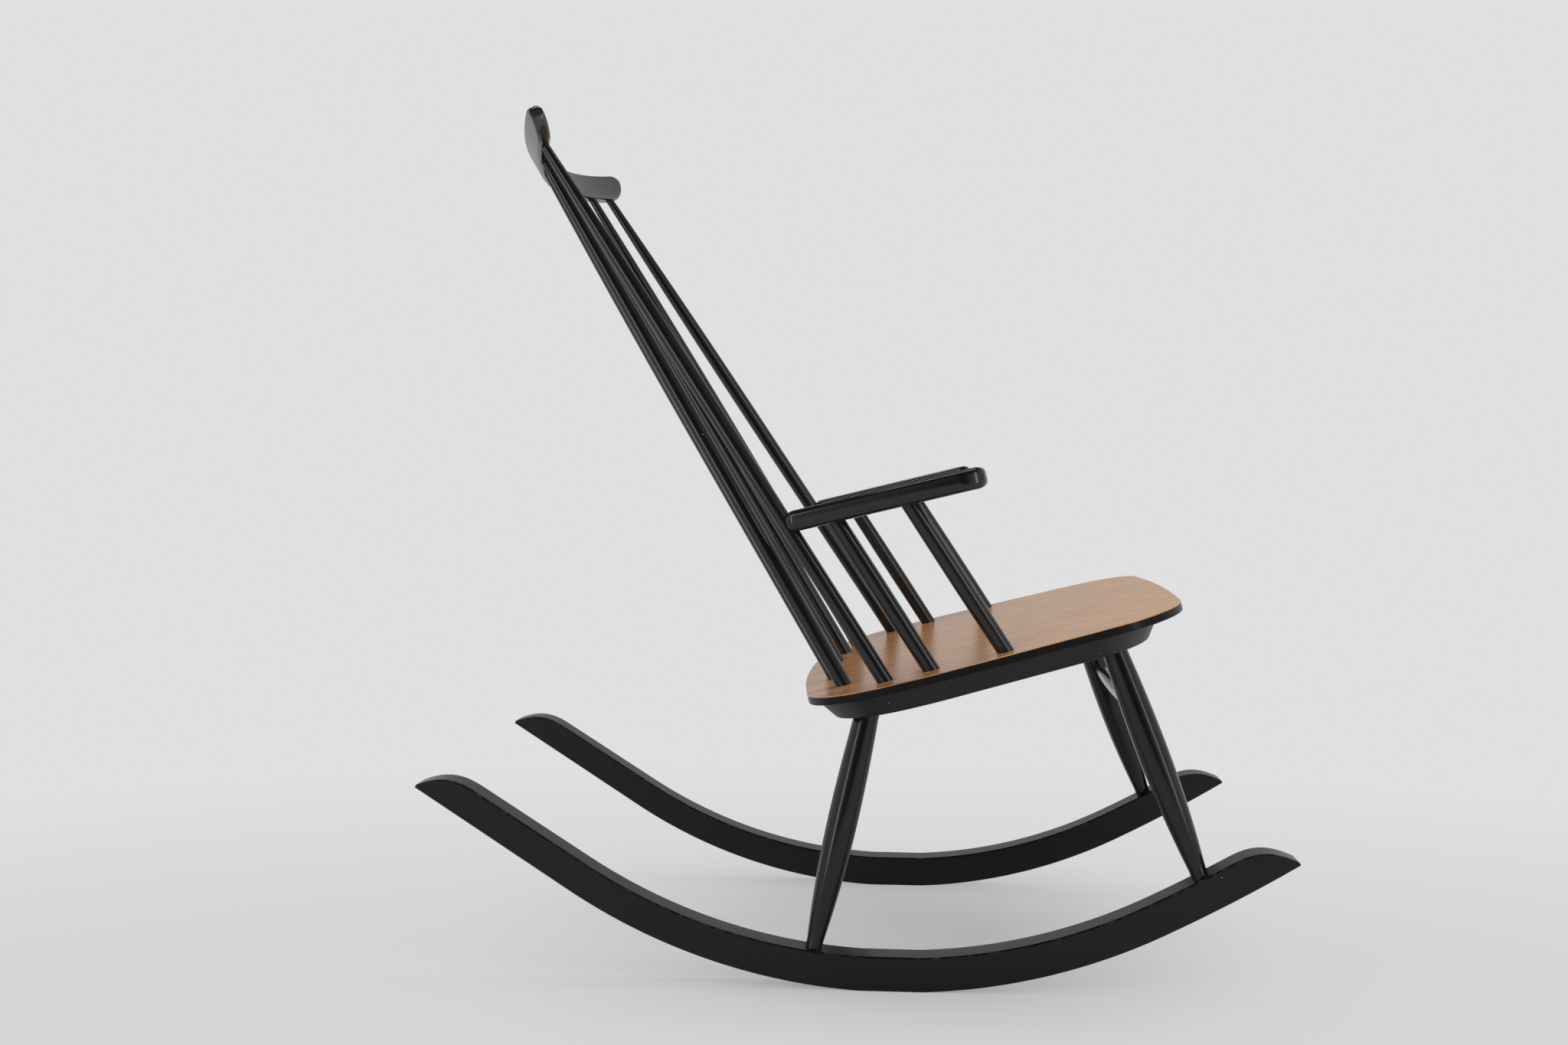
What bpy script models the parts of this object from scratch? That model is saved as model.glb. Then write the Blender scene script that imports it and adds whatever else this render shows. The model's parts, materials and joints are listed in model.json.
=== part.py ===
"""A spindle-back rocking armchair in black lacquered wood with a teak veneered seat.

Metres, +Z up. The chair faces -Y, so the sitter's right hand is at -X. The origin is on the floor,
below the middle of the rockers. Turned sticks seat in blind round bores, so every piece comes apart.
"""
import math

import bmesh
import bpy
from mathutils import Matrix, Vector

# Clearances
FIT = 0.0003                # round the sticks in their bores, and between stacked seat layers
BORE_START = 0.012          # how far a drill starts outside the wood

# Rockers: one long arc, a straight tail and a flatter front, each ending in a tapered nose
ROCKER_LENGTH = 0.948
ROCKER_WIDTH = 0.0325
ROCKER_HEIGHT = 0.0375
ROCKER_FRONT_HEIGHT = 0.0360
ROCKER_TAIL_HEIGHT = 0.0335
ROCKER_RADIUS = 0.645
ROCKER_FRONT_RADIUS = 1.75
ROCKER_LOW_Y = -0.0455      # the rockers touch the floor here
ROCKER_FLAT = 0.068         # length of the flat they stand on
ROCKER_REAR_BEND = math.radians(32.8)
ROCKER_FRONT_BEND = math.radians(26.5)
ROCKER_STEP = math.radians(2.25)
ROCKER_EDGE = 0.003
ROCKER_NOSE = 0.065
ROCKER_TIP = 0.004
ROCKER_FULLNESS = 3         # roundness of the rockers' noses: 1 is a straight taper
NOSE_FULLNESS = 1.6         # roundness of rail and arms: 1 is a straight taper, 2 a quarter circle

# Whole chair
CHAIR_HEIGHT = 0.9298       # from the floor to the middle of the crest rail's top

# Seat: three stacked layers that slope down to the rear
SEAT_TILT = math.radians(14.5)
SEAT_HEIGHT = 0.3266        # top of the seat above the origin
SEAT_FRONT = 0.377          # from the origin's plumb line to the front edge's tip, along the slope
SEAT_REAR = 0.066
SEAT_WIDTH = 0.597
SEAT_WIDEST = 0.085         # the widest place, ahead of the origin's plumb line
SEAT_FRONT_TAPER = 0.0395   # how much narrower the front is than the widest place, on each side
SEAT_REAR_TAPER = 0.0065
FRONT_SWEEP = 0.014         # how far the corners lie behind the tip of the edge
REAR_SWEEP = 0.026
FRONT_CORNER = 0.078        # where the rounding of a corner starts, measured from the corner
REAR_CORNER = 0.086
SIDE_BLEND = 0.024
EDGE_BLEND = 0.140
VENEER = 0.001
BOARD = 0.0082
BOARD_EDGE = 0.0012
BASE = 0.024
BASE_EDGE = 0.0015
BASE_FRONT_INSET = 0.040    # of the underside, from the board's outline
BASE_REAR_INSET = 0.023
BASE_SIDE_INSET = 0.0353
BASE_FRONT_CORNER = 0.068
BASE_REAR_CORNER = 0.076
BASE_FLARE = 0.017          # how far the top stands outside the underside, so the sides slope
BASE_FRONT_RAIL = 0.022     # the base is a frame, with these widths round its window
BASE_REAR_RAIL = 0.088
BASE_SIDE_RAIL = 0.026
BASE_BLOCK = 0.074          # from the front edge to the rear of the corner blocks that hold the front legs
WINDOW_CORNER = 0.030
BAY_CORNER = 0.018

# Back: eight spindles that lean back from an arc on the seat to the crest rail
BACK_LEAN = math.radians(30.1)
SPINDLES_BEHIND = 3         # on each side, on the arc at the rear of the seat
SPINDLE_SETBACK = 0.0392    # from the tip of the seat's rear edge to the arc of feet
SPINDLE_SWEEP = 0.0206      # how far the arc comes forward at its last spindle
OUTER_FOOT_AHEAD = 0.0413   # the outer spindles stand on the line of the arm posts
STICK_INSET = 0.045         # from the seat's widest edge to that line
SPINDLE_CORNER_GAP = 0.05425    # from that line to the last spindle of the arc
SPINDLE_FOOT = 0.0174       # diameters
SPINDLE_BELLY = 0.0178
SPINDLE_HEAD = 0.0096
SPINDLE_BELLY_AT = 0.47
SPINDLE_FOOT_DEPTH = 0.0165
SPINDLE_HEAD_DEPTH = 0.016
SPINDLE_NECK = 0.005        # length of the even neck at each end of a stick

# Crest rail: a bar bent to an arc, with rounded ends
CREST_LENGTH = 0.462        # along the bend
CREST_OVERHANG = 0.042      # from the outer spindles to the ends
CREST_RADIUS = 0.600
CREST_HEIGHT = 0.0355
CREST_THICKNESS = 0.0155
CREST_EDGE = 0.005
CREST_NOSE = 0.030           # length of the rounding at the ends, below and above
CREST_TOP_NOSE = 0.010
CREST_STATIONS = 16

# Arms: short sloping bars on two posts each, coped round the outer spindles
ARM_RISE = 0.1977           # from the seat to the arm, along the outer spindle
ARM_LENGTH = 0.2190
ARM_SLOPE = math.radians(13.4)
ARM_SPREAD = math.radians(8.0)
ARM_THICKNESS = 0.0225
ARM_REAR_WIDTH = 0.029
ARM_FRONT_WIDTH = 0.047
ARM_EDGE = 0.0075
ARM_NOSE = 0.024            # length of the rounding at the front end
ARM_REAR_NOSE = 0.008
ARM_COPE = 0.0050           # how far the rear end reaches round the spindle
ARM_STATIONS = 10
POST_FEET = (0.0909, 0.1706)    # ahead of the origin's plumb line, rear and front post
POST_HEADS = (0.051, 0.131)     # along the arm from the outer spindle, rear and front post
POST_END = 0.0176
POST_BELLY = 0.0183
POST_NECK = 0.006
POST_FOOT_DEPTH = 0.0105
POST_HEAD_DEPTH = 0.004     # past the middle of the arm
DOWEL = 0.008
DOWEL_IN_SPINDLE = 0.005    # past the spindle's middle
DOWEL_IN_ARM = 0.030

# Legs and stretchers
LEG_FRONT_FOOT = 0.1015     # behind the rockers' front tips
LEG_REAR_FOOT = 0.0833      # behind the place where the rockers touch the floor
LEG_HEAD_INSET = 0.1085     # from the seat's widest edge to the legs' heads
LEG_BLOCK = 0.030           # from a front leg's head to the inner side of its corner block
LEG_SPLAY = 0.02865         # how far a leg's foot stands outside its head
LEG_FRONT_HEAD = 0.0520     # behind the front edge of the base, along the slope
LEG_REAR_HEAD = 0.0547      # ahead of its rear edge
LEG_FOOT = 0.0182
LEG_BELLY = 0.0330
LEG_HEAD = 0.0268
LEG_BELLY_AT = 0.56
LEG_NECK = 0.008
LEG_FOOT_DEPTH = 0.020
LEG_HEAD_DEPTH = 0.013
STRETCHER_DROP = 0.071      # below the seat, along the legs
STRETCHER_END = 0.011
STRETCHER_BELLY = 0.018
STRETCHER_STOP = 0.004      # its ends stop this far short of the legs' middles
STRETCHER_NECK = 0.006

# Facets
STICK_SIDES = 12
LEG_SIDES = 16
STICK_STATIONS = 9
CORNER_STEP = math.radians(17)
EDGE_STEPS = 2
NOSE_STEPS = 6
ROCKER_NOSE_STEPS = 8

SIDES = {"right": -1, "left": 1}
SEAT_FRAME = Matrix.Translation((0, 0, SEAT_HEIGHT)) @ Matrix.Rotation(-SEAT_TILT, 4, "X")
BASE_DROP = VENEER + BOARD + 2 * FIT
UNDERSIDE = -BASE_DROP - BASE
BASE_FRONT = BASE_FRONT_INSET - SEAT_FRONT
BASE_REAR = SEAT_REAR - BASE_REAR_INSET
STICK_LINE = SEAT_WIDTH / 2 - STICK_INSET
SPINDLE_FOOT_PITCH = (STICK_LINE - SPINDLE_CORNER_GAP) / (SPINDLES_BEHIND - 0.5)
SPINDLE_TOP_PITCH = (CREST_LENGTH - 2 * CREST_OVERHANG) / (2 * SPINDLES_BEHIND + 1)
LEG_HEAD_X = SEAT_WIDTH / 2 - LEG_HEAD_INSET
ROCKER_X = LEG_HEAD_X + LEG_SPLAY


def finish(name, color, roughness):
    material = bpy.data.materials.new(name)
    material.use_nodes = True
    shader = material.node_tree.nodes["Principled BSDF"]
    shader.inputs["Base Color"].default_value = (*color, 1)
    shader.inputs["Roughness"].default_value = roughness
    shader.inputs["Metallic"].default_value = 0
    return material


def make_object(name, bm, material, frame=None, parent=None):
    """Turn a bmesh into a named object that stands where the frame puts it."""
    bmesh.ops.remove_doubles(bm, verts=bm.verts, dist=0.000001)
    bmesh.ops.recalc_face_normals(bm, faces=bm.faces)
    mesh = bpy.data.meshes.new(name)
    bm.to_mesh(mesh)
    bm.free()
    mesh.shade_smooth()
    mesh.set_sharp_from_angle(angle=math.radians(35))
    if material:
        mesh.materials.append(material)
    piece = bpy.data.objects.new(name, mesh)
    bpy.context.collection.objects.link(piece)
    piece.parent = parent
    piece.matrix_basis = frame or Matrix()
    return piece


def bore_out(piece, cutter):
    cut = piece.modifiers.new("bores", "BOOLEAN")
    cut.operation = "DIFFERENCE"
    cut.solver = "EXACT"
    cut.object = cutter


def make_cutter(name, bm):
    cutter = make_object(name, bm, None)
    cutter.hide_render = True
    cutter.display_type = "WIRE"
    return cutter


# Sections and lofts

def rounded_section(half_width, low, high, radius):
    """Points of an upright rectangle with round corners, as (across, up)."""
    radius = min(radius, 0.45 * (high - low), 0.9 * half_width)
    points = []
    corners = ((1, high, 0), (-1, high, 90), (-1, low, 180), (1, low, 270))
    for side, level, start in corners:
        middle_x = side * (half_width - radius)
        middle_z = level - radius if level == high else level + radius
        for step in range(EDGE_STEPS + 1):
            angle = math.radians(start + 90 * step / EDGE_STEPS)
            points.append((middle_x + radius * math.cos(angle), middle_z + radius * math.sin(angle)))
    return points


def loft(sections):
    """Extrude the first section's face from section to section, with both ends closed."""
    bm = bmesh.new()
    cap = bm.faces.new([bm.verts.new(point) for point in sections[0]])
    for section in sections[1:]:
        cap = bmesh.ops.extrude_discrete_faces(bm, faces=[cap])["faces"][0]
        for vert, point in zip(cap.verts, section):
            vert.co = point
    bmesh.ops.holes_fill(bm, edges=list(bm.edges), sides=0)
    return bm


def nose_share(distance, length, fullness=NOSE_FULLNESS):
    """How full a tapered end is at a distance from its tip, from 0 to 1."""
    if distance >= length:
        return 1.0
    return (1 - (1 - distance / length) ** fullness) ** (1 / fullness)


def tip_spots(length, steps):
    """Distances from a tip, close together at the tip and wide apart at the end of its nose."""
    return [length * (step / steps) ** 2 for step in range(steps)]


# Turned sticks

class Stick:
    """A turned stick between two places on the wood that holds it, with a buried length at each end."""

    def __init__(self, name, foot, head, buried, diameters, belly_at, neck, sides):
        self.name = name
        self.foot = Vector(foot)
        self.head = Vector(head)
        self.buried = buried
        self.radii = [diameter / 2 for diameter in diameters]
        self.belly_at = belly_at
        self.neck = neck
        self.sides = sides
        self.axis = (self.head - self.foot).normalized()
        self.turn = self.axis.to_track_quat("Z", "Y").to_matrix().to_4x4()
        self.shown = (self.head - self.foot).length

    def radius_at(self, height):
        """Radius at a height above the foot: round necks at both ends, and a belly between."""
        foot, belly, head = self.radii
        share = (height - self.neck) / (self.shown - 2 * self.neck)
        share = min(max(share, 0), 1)
        if share < self.belly_at:
            return belly - (belly - foot) * (1 - share / self.belly_at) ** 2
        return belly - (belly - head) * ((share - self.belly_at) / (1 - self.belly_at)) ** 2

    def at(self, height):
        return self.foot + self.axis * height

    def make(self, material):
        low, high = -self.buried[0], self.shown + self.buried[1]
        inner = self.shown - 2 * self.neck
        heights = [low]
        heights += [self.neck + inner * step / STICK_STATIONS for step in range(STICK_STATIONS + 1)]
        heights += [high]
        bm = bmesh.new()
        profile = [bm.verts.new((0, 0, low))]
        profile += [bm.verts.new((self.radius_at(height), 0, height)) for height in heights]
        profile += [bm.verts.new((0, 0, high))]
        edges = [bm.edges.new(ends) for ends in zip(profile, profile[1:])]
        bmesh.ops.spin(bm, geom=profile + edges, cent=(0, 0, 0), axis=(0, 0, 1), dvec=(0, 0, 0),
                       angle=math.tau, steps=self.sides, use_merge=True)
        return make_object(self.name, bm, material, Matrix.Translation(self.foot) @ self.turn)

    def bore(self, bm, end):
        """Add the drill of one end to a cutter's bmesh."""
        if end == "foot":
            radius, low, high = self.radii[0], -self.buried[0] - FIT, BORE_START
        else:
            radius, low, high = self.radii[2], self.shown - BORE_START, self.shown + self.buried[1] + FIT
        drill_round(bm, Matrix.Translation(self.foot) @ self.turn, radius, low, high, self.sides)


def drill_round(bm, frame, radius, low, high, sides):
    """A prism whose flats clear a round stick of this radius by the fit."""
    wide = (radius + FIT) / math.cos(math.pi / sides)
    place = frame @ Matrix.Translation((0, 0, (low + high) / 2))
    bmesh.ops.create_cone(bm, cap_ends=True, segments=sides, radius1=wide, radius2=wide,
                          depth=high - low, matrix=place)


def drill_group(name, sticks, end):
    bm = bmesh.new()
    for stick in sticks:
        stick.bore(bm, end)
    return make_cutter(name, bm)


# Rockers

def rocker_stations():
    """Places along the underside from the front tip to the tail: (y, z, slope angle, height)."""
    spots = []
    half_step = math.asin(ROCKER_FLAT / 2 / ROCKER_RADIUS)
    lift = ROCKER_RADIUS * (1 - math.cos(half_step))

    def arc_spot(angle):
        y = ROCKER_LOW_Y + ROCKER_RADIUS * math.sin(angle)
        return y, ROCKER_RADIUS * (1 - math.cos(angle)) - lift, angle

    front_y, front_z, _ = arc_spot(-ROCKER_FRONT_BEND)
    tip_bend = math.asin(math.sin(ROCKER_FRONT_BEND) + (front_y + ROCKER_LENGTH / 2) / ROCKER_FRONT_RADIUS)
    nose_part = 1.3 * ROCKER_NOSE / (front_y + ROCKER_LENGTH / 2)
    tip_share = [*tip_spots(nose_part, ROCKER_NOSE_STEPS), nose_part, (1 + nose_part) / 2]
    for share in tip_share:
        bend = tip_bend + (ROCKER_FRONT_BEND - tip_bend) * share
        y = front_y - ROCKER_FRONT_RADIUS * (math.sin(bend) - math.sin(ROCKER_FRONT_BEND))
        z = front_z + ROCKER_FRONT_RADIUS * (math.cos(ROCKER_FRONT_BEND) - math.cos(bend))
        spots.append((y, z, -bend))
    steps_front = math.ceil((ROCKER_FRONT_BEND - half_step) / ROCKER_STEP)
    steps_rear = math.ceil((ROCKER_REAR_BEND - half_step) / ROCKER_STEP)
    for step in range(steps_front):
        spots.append(arc_spot(-ROCKER_FRONT_BEND + (ROCKER_FRONT_BEND - half_step) * step / steps_front))
    for step in range(steps_rear + 1):
        spots.append(arc_spot(half_step + (ROCKER_REAR_BEND - half_step) * step / steps_rear))
    spots.insert(len(tip_share) + steps_front, arc_spot(-half_step))
    tail_y, tail_z, _ = spots[-1]
    run = ROCKER_LENGTH / 2 - tail_y
    for share in reversed(tip_share[:-1]):
        y = tail_y + run * (1 - share)
        spots.append((y, tail_z + run * (1 - share) * math.tan(ROCKER_REAR_BEND), ROCKER_REAR_BEND))
    return spots


def rocker_heights(spots):
    """Height of the rocker at each place: a slow taper to both ends, and a nose at both tips."""
    first, last = Vector(spots[0][:2]), Vector(spots[-1][:2])
    heights = []
    for y, z, _ in spots:
        end_height = ROCKER_TAIL_HEIGHT if y > 0 else ROCKER_FRONT_HEIGHT
        height = ROCKER_HEIGHT + (end_height - ROCKER_HEIGHT) * abs(y) / (ROCKER_LENGTH / 2)
        here = Vector((y, z))
        tip = min((here - first).length, (here - last).length)
        taper = (1 - min(tip / ROCKER_NOSE, 1)) ** ROCKER_FULLNESS
        heights.append(height - (height - ROCKER_TIP) * taper)
    return heights


def rocker_top(y):
    """Height of the rocker's upper side above the floor at a place along it."""
    spots = rocker_stations()
    tops = []
    for (spot_y, spot_z, angle), height in zip(spots, rocker_heights(spots)):
        tops.append((spot_y - height * math.sin(angle), spot_z + height * math.cos(angle)))
    for (y0, z0), (y1, z1) in zip(tops, tops[1:]):
        if y0 <= y <= y1:
            return z0 + (z1 - z0) * (y - y0) / (y1 - y0)
    raise ValueError("no rocker below this place")


def make_rocker(side_name, side, material):
    spots = rocker_stations()
    sections = []
    for (y, z, angle), height in zip(spots, rocker_heights(spots)):
        section = []
        for across, up in rounded_section(ROCKER_WIDTH / 2, 0, height, ROCKER_EDGE):
            section.append((across, y - up * math.sin(angle), z + up * math.cos(angle)))
        sections.append(section)
    frame = Matrix.Translation((side * ROCKER_X, 0, 0))
    return make_object(f"rocker_{side_name}", loft(sections), material, frame)


# Seat

def round_corner(before, corner, after, reach):
    """A round arc that replaces a corner, starting and ending at the reach from it."""
    start = corner + (before - corner).normalized() * reach
    end = corner + (after - corner).normalized() * reach
    half_angle = (before - corner).angle(after - corner) / 2
    weight = math.sin(half_angle)
    points = []
    steps = math.ceil((math.pi - 2 * half_angle) / CORNER_STEP) + 1
    for step in range(steps + 1):
        t = step / steps
        parts = (1 - t) ** 2, 2 * weight * t * (1 - t), t ** 2
        points.append((start * parts[0] + corner * parts[1] + end * parts[2]) / sum(parts))
    return points


def rounded_outline(corners):
    """Outline of a flat piece from its corners, each given as (x, y, reach of its rounding)."""
    spots = [Vector(corner[:2]) for corner in corners]
    outline = []
    for index, (_, _, reach) in enumerate(corners):
        before, after = spots[index - 1], spots[(index + 1) % len(spots)]
        outline += round_corner(before, spots[index], after, reach)
    return outline


def seat_outline(front_inset, rear_inset, side_inset, front_corner, rear_corner):
    """Outline of a seat layer in the seat's plane: wide at the rear, with swept front and rear edges."""
    front = front_inset - SEAT_FRONT
    rear = SEAT_REAR - rear_inset
    widest = SEAT_WIDTH / 2 - side_inset
    half = [
        (widest - SEAT_FRONT_TAPER, front + FRONT_SWEEP, front_corner),
        (widest, -SEAT_WIDEST, SIDE_BLEND),
        (widest - SEAT_REAR_TAPER, rear - REAR_SWEEP, rear_corner),
    ]
    mirrored = [(-x, y, reach) for x, y, reach in reversed(half)]
    return rounded_outline([(0, front, EDGE_BLEND), *half, (0, rear, EDGE_BLEND), *mirrored])


def window_outline():
    """The opening in the base: a bay between the front legs' corner blocks, then the full width."""
    front = BASE_FRONT + BASE_FRONT_RAIL
    block = BASE_FRONT + BASE_BLOCK
    rear = BASE_REAR - BASE_REAR_RAIL
    bay = LEG_HEAD_X - LEG_BLOCK
    widest = SEAT_WIDTH / 2 - BASE_SIDE_INSET - BASE_SIDE_RAIL
    half = [
        (bay, front, BAY_CORNER),
        (bay, block, BAY_CORNER),
        (widest - SEAT_FRONT_TAPER, block, BAY_CORNER),
        (widest - SEAT_REAR_TAPER, rear, WINDOW_CORNER),
    ]
    return rounded_outline([*half, *((-x, y, reach) for x, y, reach in reversed(half))])


def grown_outline(outline, growth):
    """The same outline, moved outward all round."""
    grown = []
    for before, here, after in zip([outline[-1], *outline], outline, [*outline[1:], outline[0]]):
        along = (after - before).normalized()
        grown.append(here + Vector((along.y, -along.x)) * growth)
    return grown


def slab(outline, top, thickness, flare):
    """A flat layer whose top stands outside its underside by the flare."""
    lower = [(x, y, top - thickness) for x, y in outline]
    upper = [(x, y, top) for x, y in grown_outline(outline, flare)]
    bm = loft([lower, upper])
    bmesh.ops.recalc_face_normals(bm, faces=bm.faces)
    return bm


def make_layer(name, outline, top, thickness, edge, material, parent, flare=0.0):
    bm = slab(outline, top, thickness, flare)
    if edge:
        rims = [rim for rim in bm.edges if abs(rim.verts[0].co.z - rim.verts[1].co.z) < thickness / 2]
        bmesh.ops.bevel(bm, geom=rims, offset=edge, segments=EDGE_STEPS, profile=0.5, affect="EDGES",
                        clamp_overlap=True, material=-1)
    return make_object(name, bm, material, parent=parent)


def make_seat(parent, sticks, legs, black, teak, ply):
    outline = seat_outline(0, 0, 0, FRONT_CORNER, REAR_CORNER)
    base_outline = seat_outline(BASE_FRONT_INSET, BASE_REAR_INSET, BASE_SIDE_INSET,
                                BASE_FRONT_CORNER, BASE_REAR_CORNER)
    stick_bores = drill_group("cutter_seat_bores", sticks, "foot")
    leg_bores = drill_group("cutter_leg_bores", legs, "head")
    veneer = make_layer("seat_veneer", outline, 0, VENEER, 0, teak, parent)
    board = make_layer("seat_board", outline, -VENEER - FIT, BOARD, BOARD_EDGE, ply, parent)
    base = make_layer("seat_base", base_outline, -BASE_DROP, BASE, BASE_EDGE, black, parent, BASE_FLARE)
    window = make_cutter("cutter_base_window", slab(window_outline(), 0, 2 * (BASE_DROP + BASE), 0))
    window.parent = parent
    for layer in (veneer, board, base):
        bore_out(layer, stick_bores)
    bore_out(base, leg_bores)
    bore_out(base, window)


# Back

def crest_frame():
    """Where the crest rail's underside meets the middle plane, leaning with the back."""
    foot = SEAT_FRAME @ Vector((0, SEAT_REAR - SPINDLE_SETBACK, 0))
    lean = Vector((0, math.sin(BACK_LEAN), math.cos(BACK_LEAN)))
    length = (CHAIR_HEIGHT - foot.z) / lean.z - CREST_HEIGHT
    return Matrix.Translation(foot + lean * length) @ Matrix.Rotation(-BACK_LEAN, 4, "X")


def crest_spot(along, out=0.0, up=0.0):
    """A place on the bent rail: along its middle line, out behind it, and up from its underside."""
    angle = along / CREST_RADIUS
    radius = CREST_RADIUS + out
    return Vector((radius * math.sin(angle), radius * math.cos(angle) - CREST_RADIUS, up))


def spindle_feet():
    """Places of the spindles' feet on the seat, from the middle out."""
    last = (SPINDLES_BEHIND - 0.5) * SPINDLE_FOOT_PITCH
    feet = []
    for rank in range(SPINDLES_BEHIND):
        x = (rank + 0.5) * SPINDLE_FOOT_PITCH
        feet.append((x, SEAT_REAR - SPINDLE_SETBACK - SPINDLE_SWEEP * (x / last) ** 2))
    return [*feet, (STICK_LINE, -OUTER_FOOT_AHEAD)]


def back_spindles():
    """The spindles from the sitter's right to left, so the first and last carry the arms."""
    spindles = []
    feet = spindle_feet()
    pairs = len(feet)
    frame = crest_frame()
    for side in SIDES.values():
        for rank, (x, y) in enumerate(feet):
            number = pairs - rank if side < 0 else pairs + 1 + rank
            foot = SEAT_FRAME @ Vector((side * x, y, 0))
            head = frame @ crest_spot(side * SPINDLE_TOP_PITCH * (rank + 0.5))
            spindles.append(Stick(f"back_spindle_{number}", foot, head,
                                  (SPINDLE_FOOT_DEPTH, SPINDLE_HEAD_DEPTH),
                                  (SPINDLE_FOOT, SPINDLE_BELLY, SPINDLE_HEAD),
                                  SPINDLE_BELLY_AT, SPINDLE_NECK, STICK_SIDES))
    return sorted(spindles, key=lambda stick: stick.name)


def make_crest(spindles, material):
    half = CREST_LENGTH / 2
    tips = tip_spots(CREST_NOSE, NOSE_STEPS)
    body = CREST_LENGTH - 2 * CREST_NOSE
    spots = [-half + tip for tip in tips]
    spots += [-half + CREST_NOSE + body * step / CREST_STATIONS for step in range(CREST_STATIONS + 1)]
    spots += [half - tip for tip in reversed(tips)]
    sections = []
    for along in spots:
        tip = half - abs(along)
        top_share = nose_share(tip, CREST_TOP_NOSE)
        low = 0.6 * CREST_HEIGHT * (1 - nose_share(tip, CREST_NOSE))
        high = CREST_HEIGHT * (0.8 + 0.2 * top_share)
        thick = CREST_THICKNESS * (0.75 + 0.25 * top_share)
        section = rounded_section(thick / 2, low, high, CREST_EDGE)
        sections.append([crest_spot(along, out, up) for out, up in section])
    crest = make_object("crest_rail", loft(sections), material, crest_frame())
    bore_out(crest, drill_group("cutter_crest_bores", spindles, "head"))


# Arms

def arm_frame(outer, side):
    """Origin on the outer spindle's axis, -Y along the arm to the front."""
    place = Matrix.Translation(outer.at(ARM_RISE))
    spread = Matrix.Rotation(side * ARM_SPREAD, 4, "Z")
    return place @ spread @ Matrix.Rotation(-ARM_SLOPE, 4, "X")


def arm_posts(side_name, side, outer):
    frame = arm_frame(outer, side)
    posts = []
    for place, ahead, along in zip(("rear", "front"), POST_FEET, POST_HEADS):
        foot = SEAT_FRAME @ Vector((side * STICK_LINE, -ahead, 0))
        middle = frame @ Vector((0, -along, 0))
        to_middle = (middle - foot).normalized()
        buried = ARM_THICKNESS / 2 / to_middle.dot(frame.to_3x3() @ Vector((0, 0, 1)))
        head = middle - to_middle * buried
        posts.append(Stick(f"arm_post_{place}_{side_name}", foot, head,
                           (POST_FOOT_DEPTH, buried + POST_HEAD_DEPTH),
                           (POST_END, POST_BELLY, POST_END), 0.5, POST_NECK, STICK_SIDES))
    return posts


def make_arm(side_name, side, outer, posts, material):
    frame = arm_frame(outer, side)
    spindle_radius = outer.radius_at(ARM_RISE)
    rear = -(spindle_radius - ARM_COPE)
    run = ARM_LENGTH + rear
    body = run - ARM_NOSE - ARM_REAR_NOSE
    spots = tip_spots(ARM_REAR_NOSE, NOSE_STEPS)
    spots += [ARM_REAR_NOSE + body * step / ARM_STATIONS for step in range(ARM_STATIONS + 1)]
    spots += [run - tip for tip in reversed(tip_spots(ARM_NOSE, NOSE_STEPS))]
    sections = []
    for spot in spots:
        share = nose_share(run - spot, ARM_NOSE)
        rear_share = nose_share(spot, ARM_REAR_NOSE)
        grown = math.sin(min(spot / (run - ARM_NOSE), 1) * math.pi / 2)
        width = ARM_REAR_WIDTH + (ARM_FRONT_WIDTH - ARM_REAR_WIDTH) * grown
        width *= (0.35 + 0.65 * share) * (0.80 + 0.20 * rear_share)
        thick = ARM_THICKNESS * (0.55 + 0.45 * min(rear_share, nose_share(run - spot, ARM_NOSE / 3)))
        points = rounded_section(width / 2, -thick / 2, thick / 2, ARM_EDGE)
        sections.append([(across, rear - spot, up) for across, up in points])
    arm = make_object(f"armrest_{side_name}", loft(sections), material, frame)
    bore_out(arm, drill_group(f"cutter_post_bores_{side_name}", posts, "head"))

    cope = bmesh.new()
    drill_round(cope, Matrix.Translation(outer.foot) @ outer.turn, spindle_radius,
                ARM_RISE - 2 * ARM_THICKNESS, ARM_RISE + 2 * ARM_THICKNESS, 2 * STICK_SIDES)
    bore_out(arm, make_cutter(f"cutter_cope_{side_name}", cope))

    along_arm = frame @ Matrix.Rotation(math.radians(90), 4, "X")
    drill = bmesh.new()
    drill_round(drill, along_arm, DOWEL / 2, -DOWEL_IN_SPINDLE - FIT, DOWEL_IN_ARM + FIT, STICK_SIDES)
    return along_arm, make_cutter(f"cutter_dowel_{side_name}", drill), arm


def make_dowel(side_name, along_arm, material):
    bm = bmesh.new()
    length = DOWEL_IN_SPINDLE + DOWEL_IN_ARM
    place = Matrix.Translation((0, 0, (DOWEL_IN_ARM - DOWEL_IN_SPINDLE) / 2))
    bmesh.ops.create_cone(bm, cap_ends=True, segments=STICK_SIDES, radius1=DOWEL / 2, radius2=DOWEL / 2,
                          depth=length, matrix=place)
    return make_object(f"arm_dowel_{side_name}", bm, material, along_arm)


# Legs and stretchers

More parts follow.
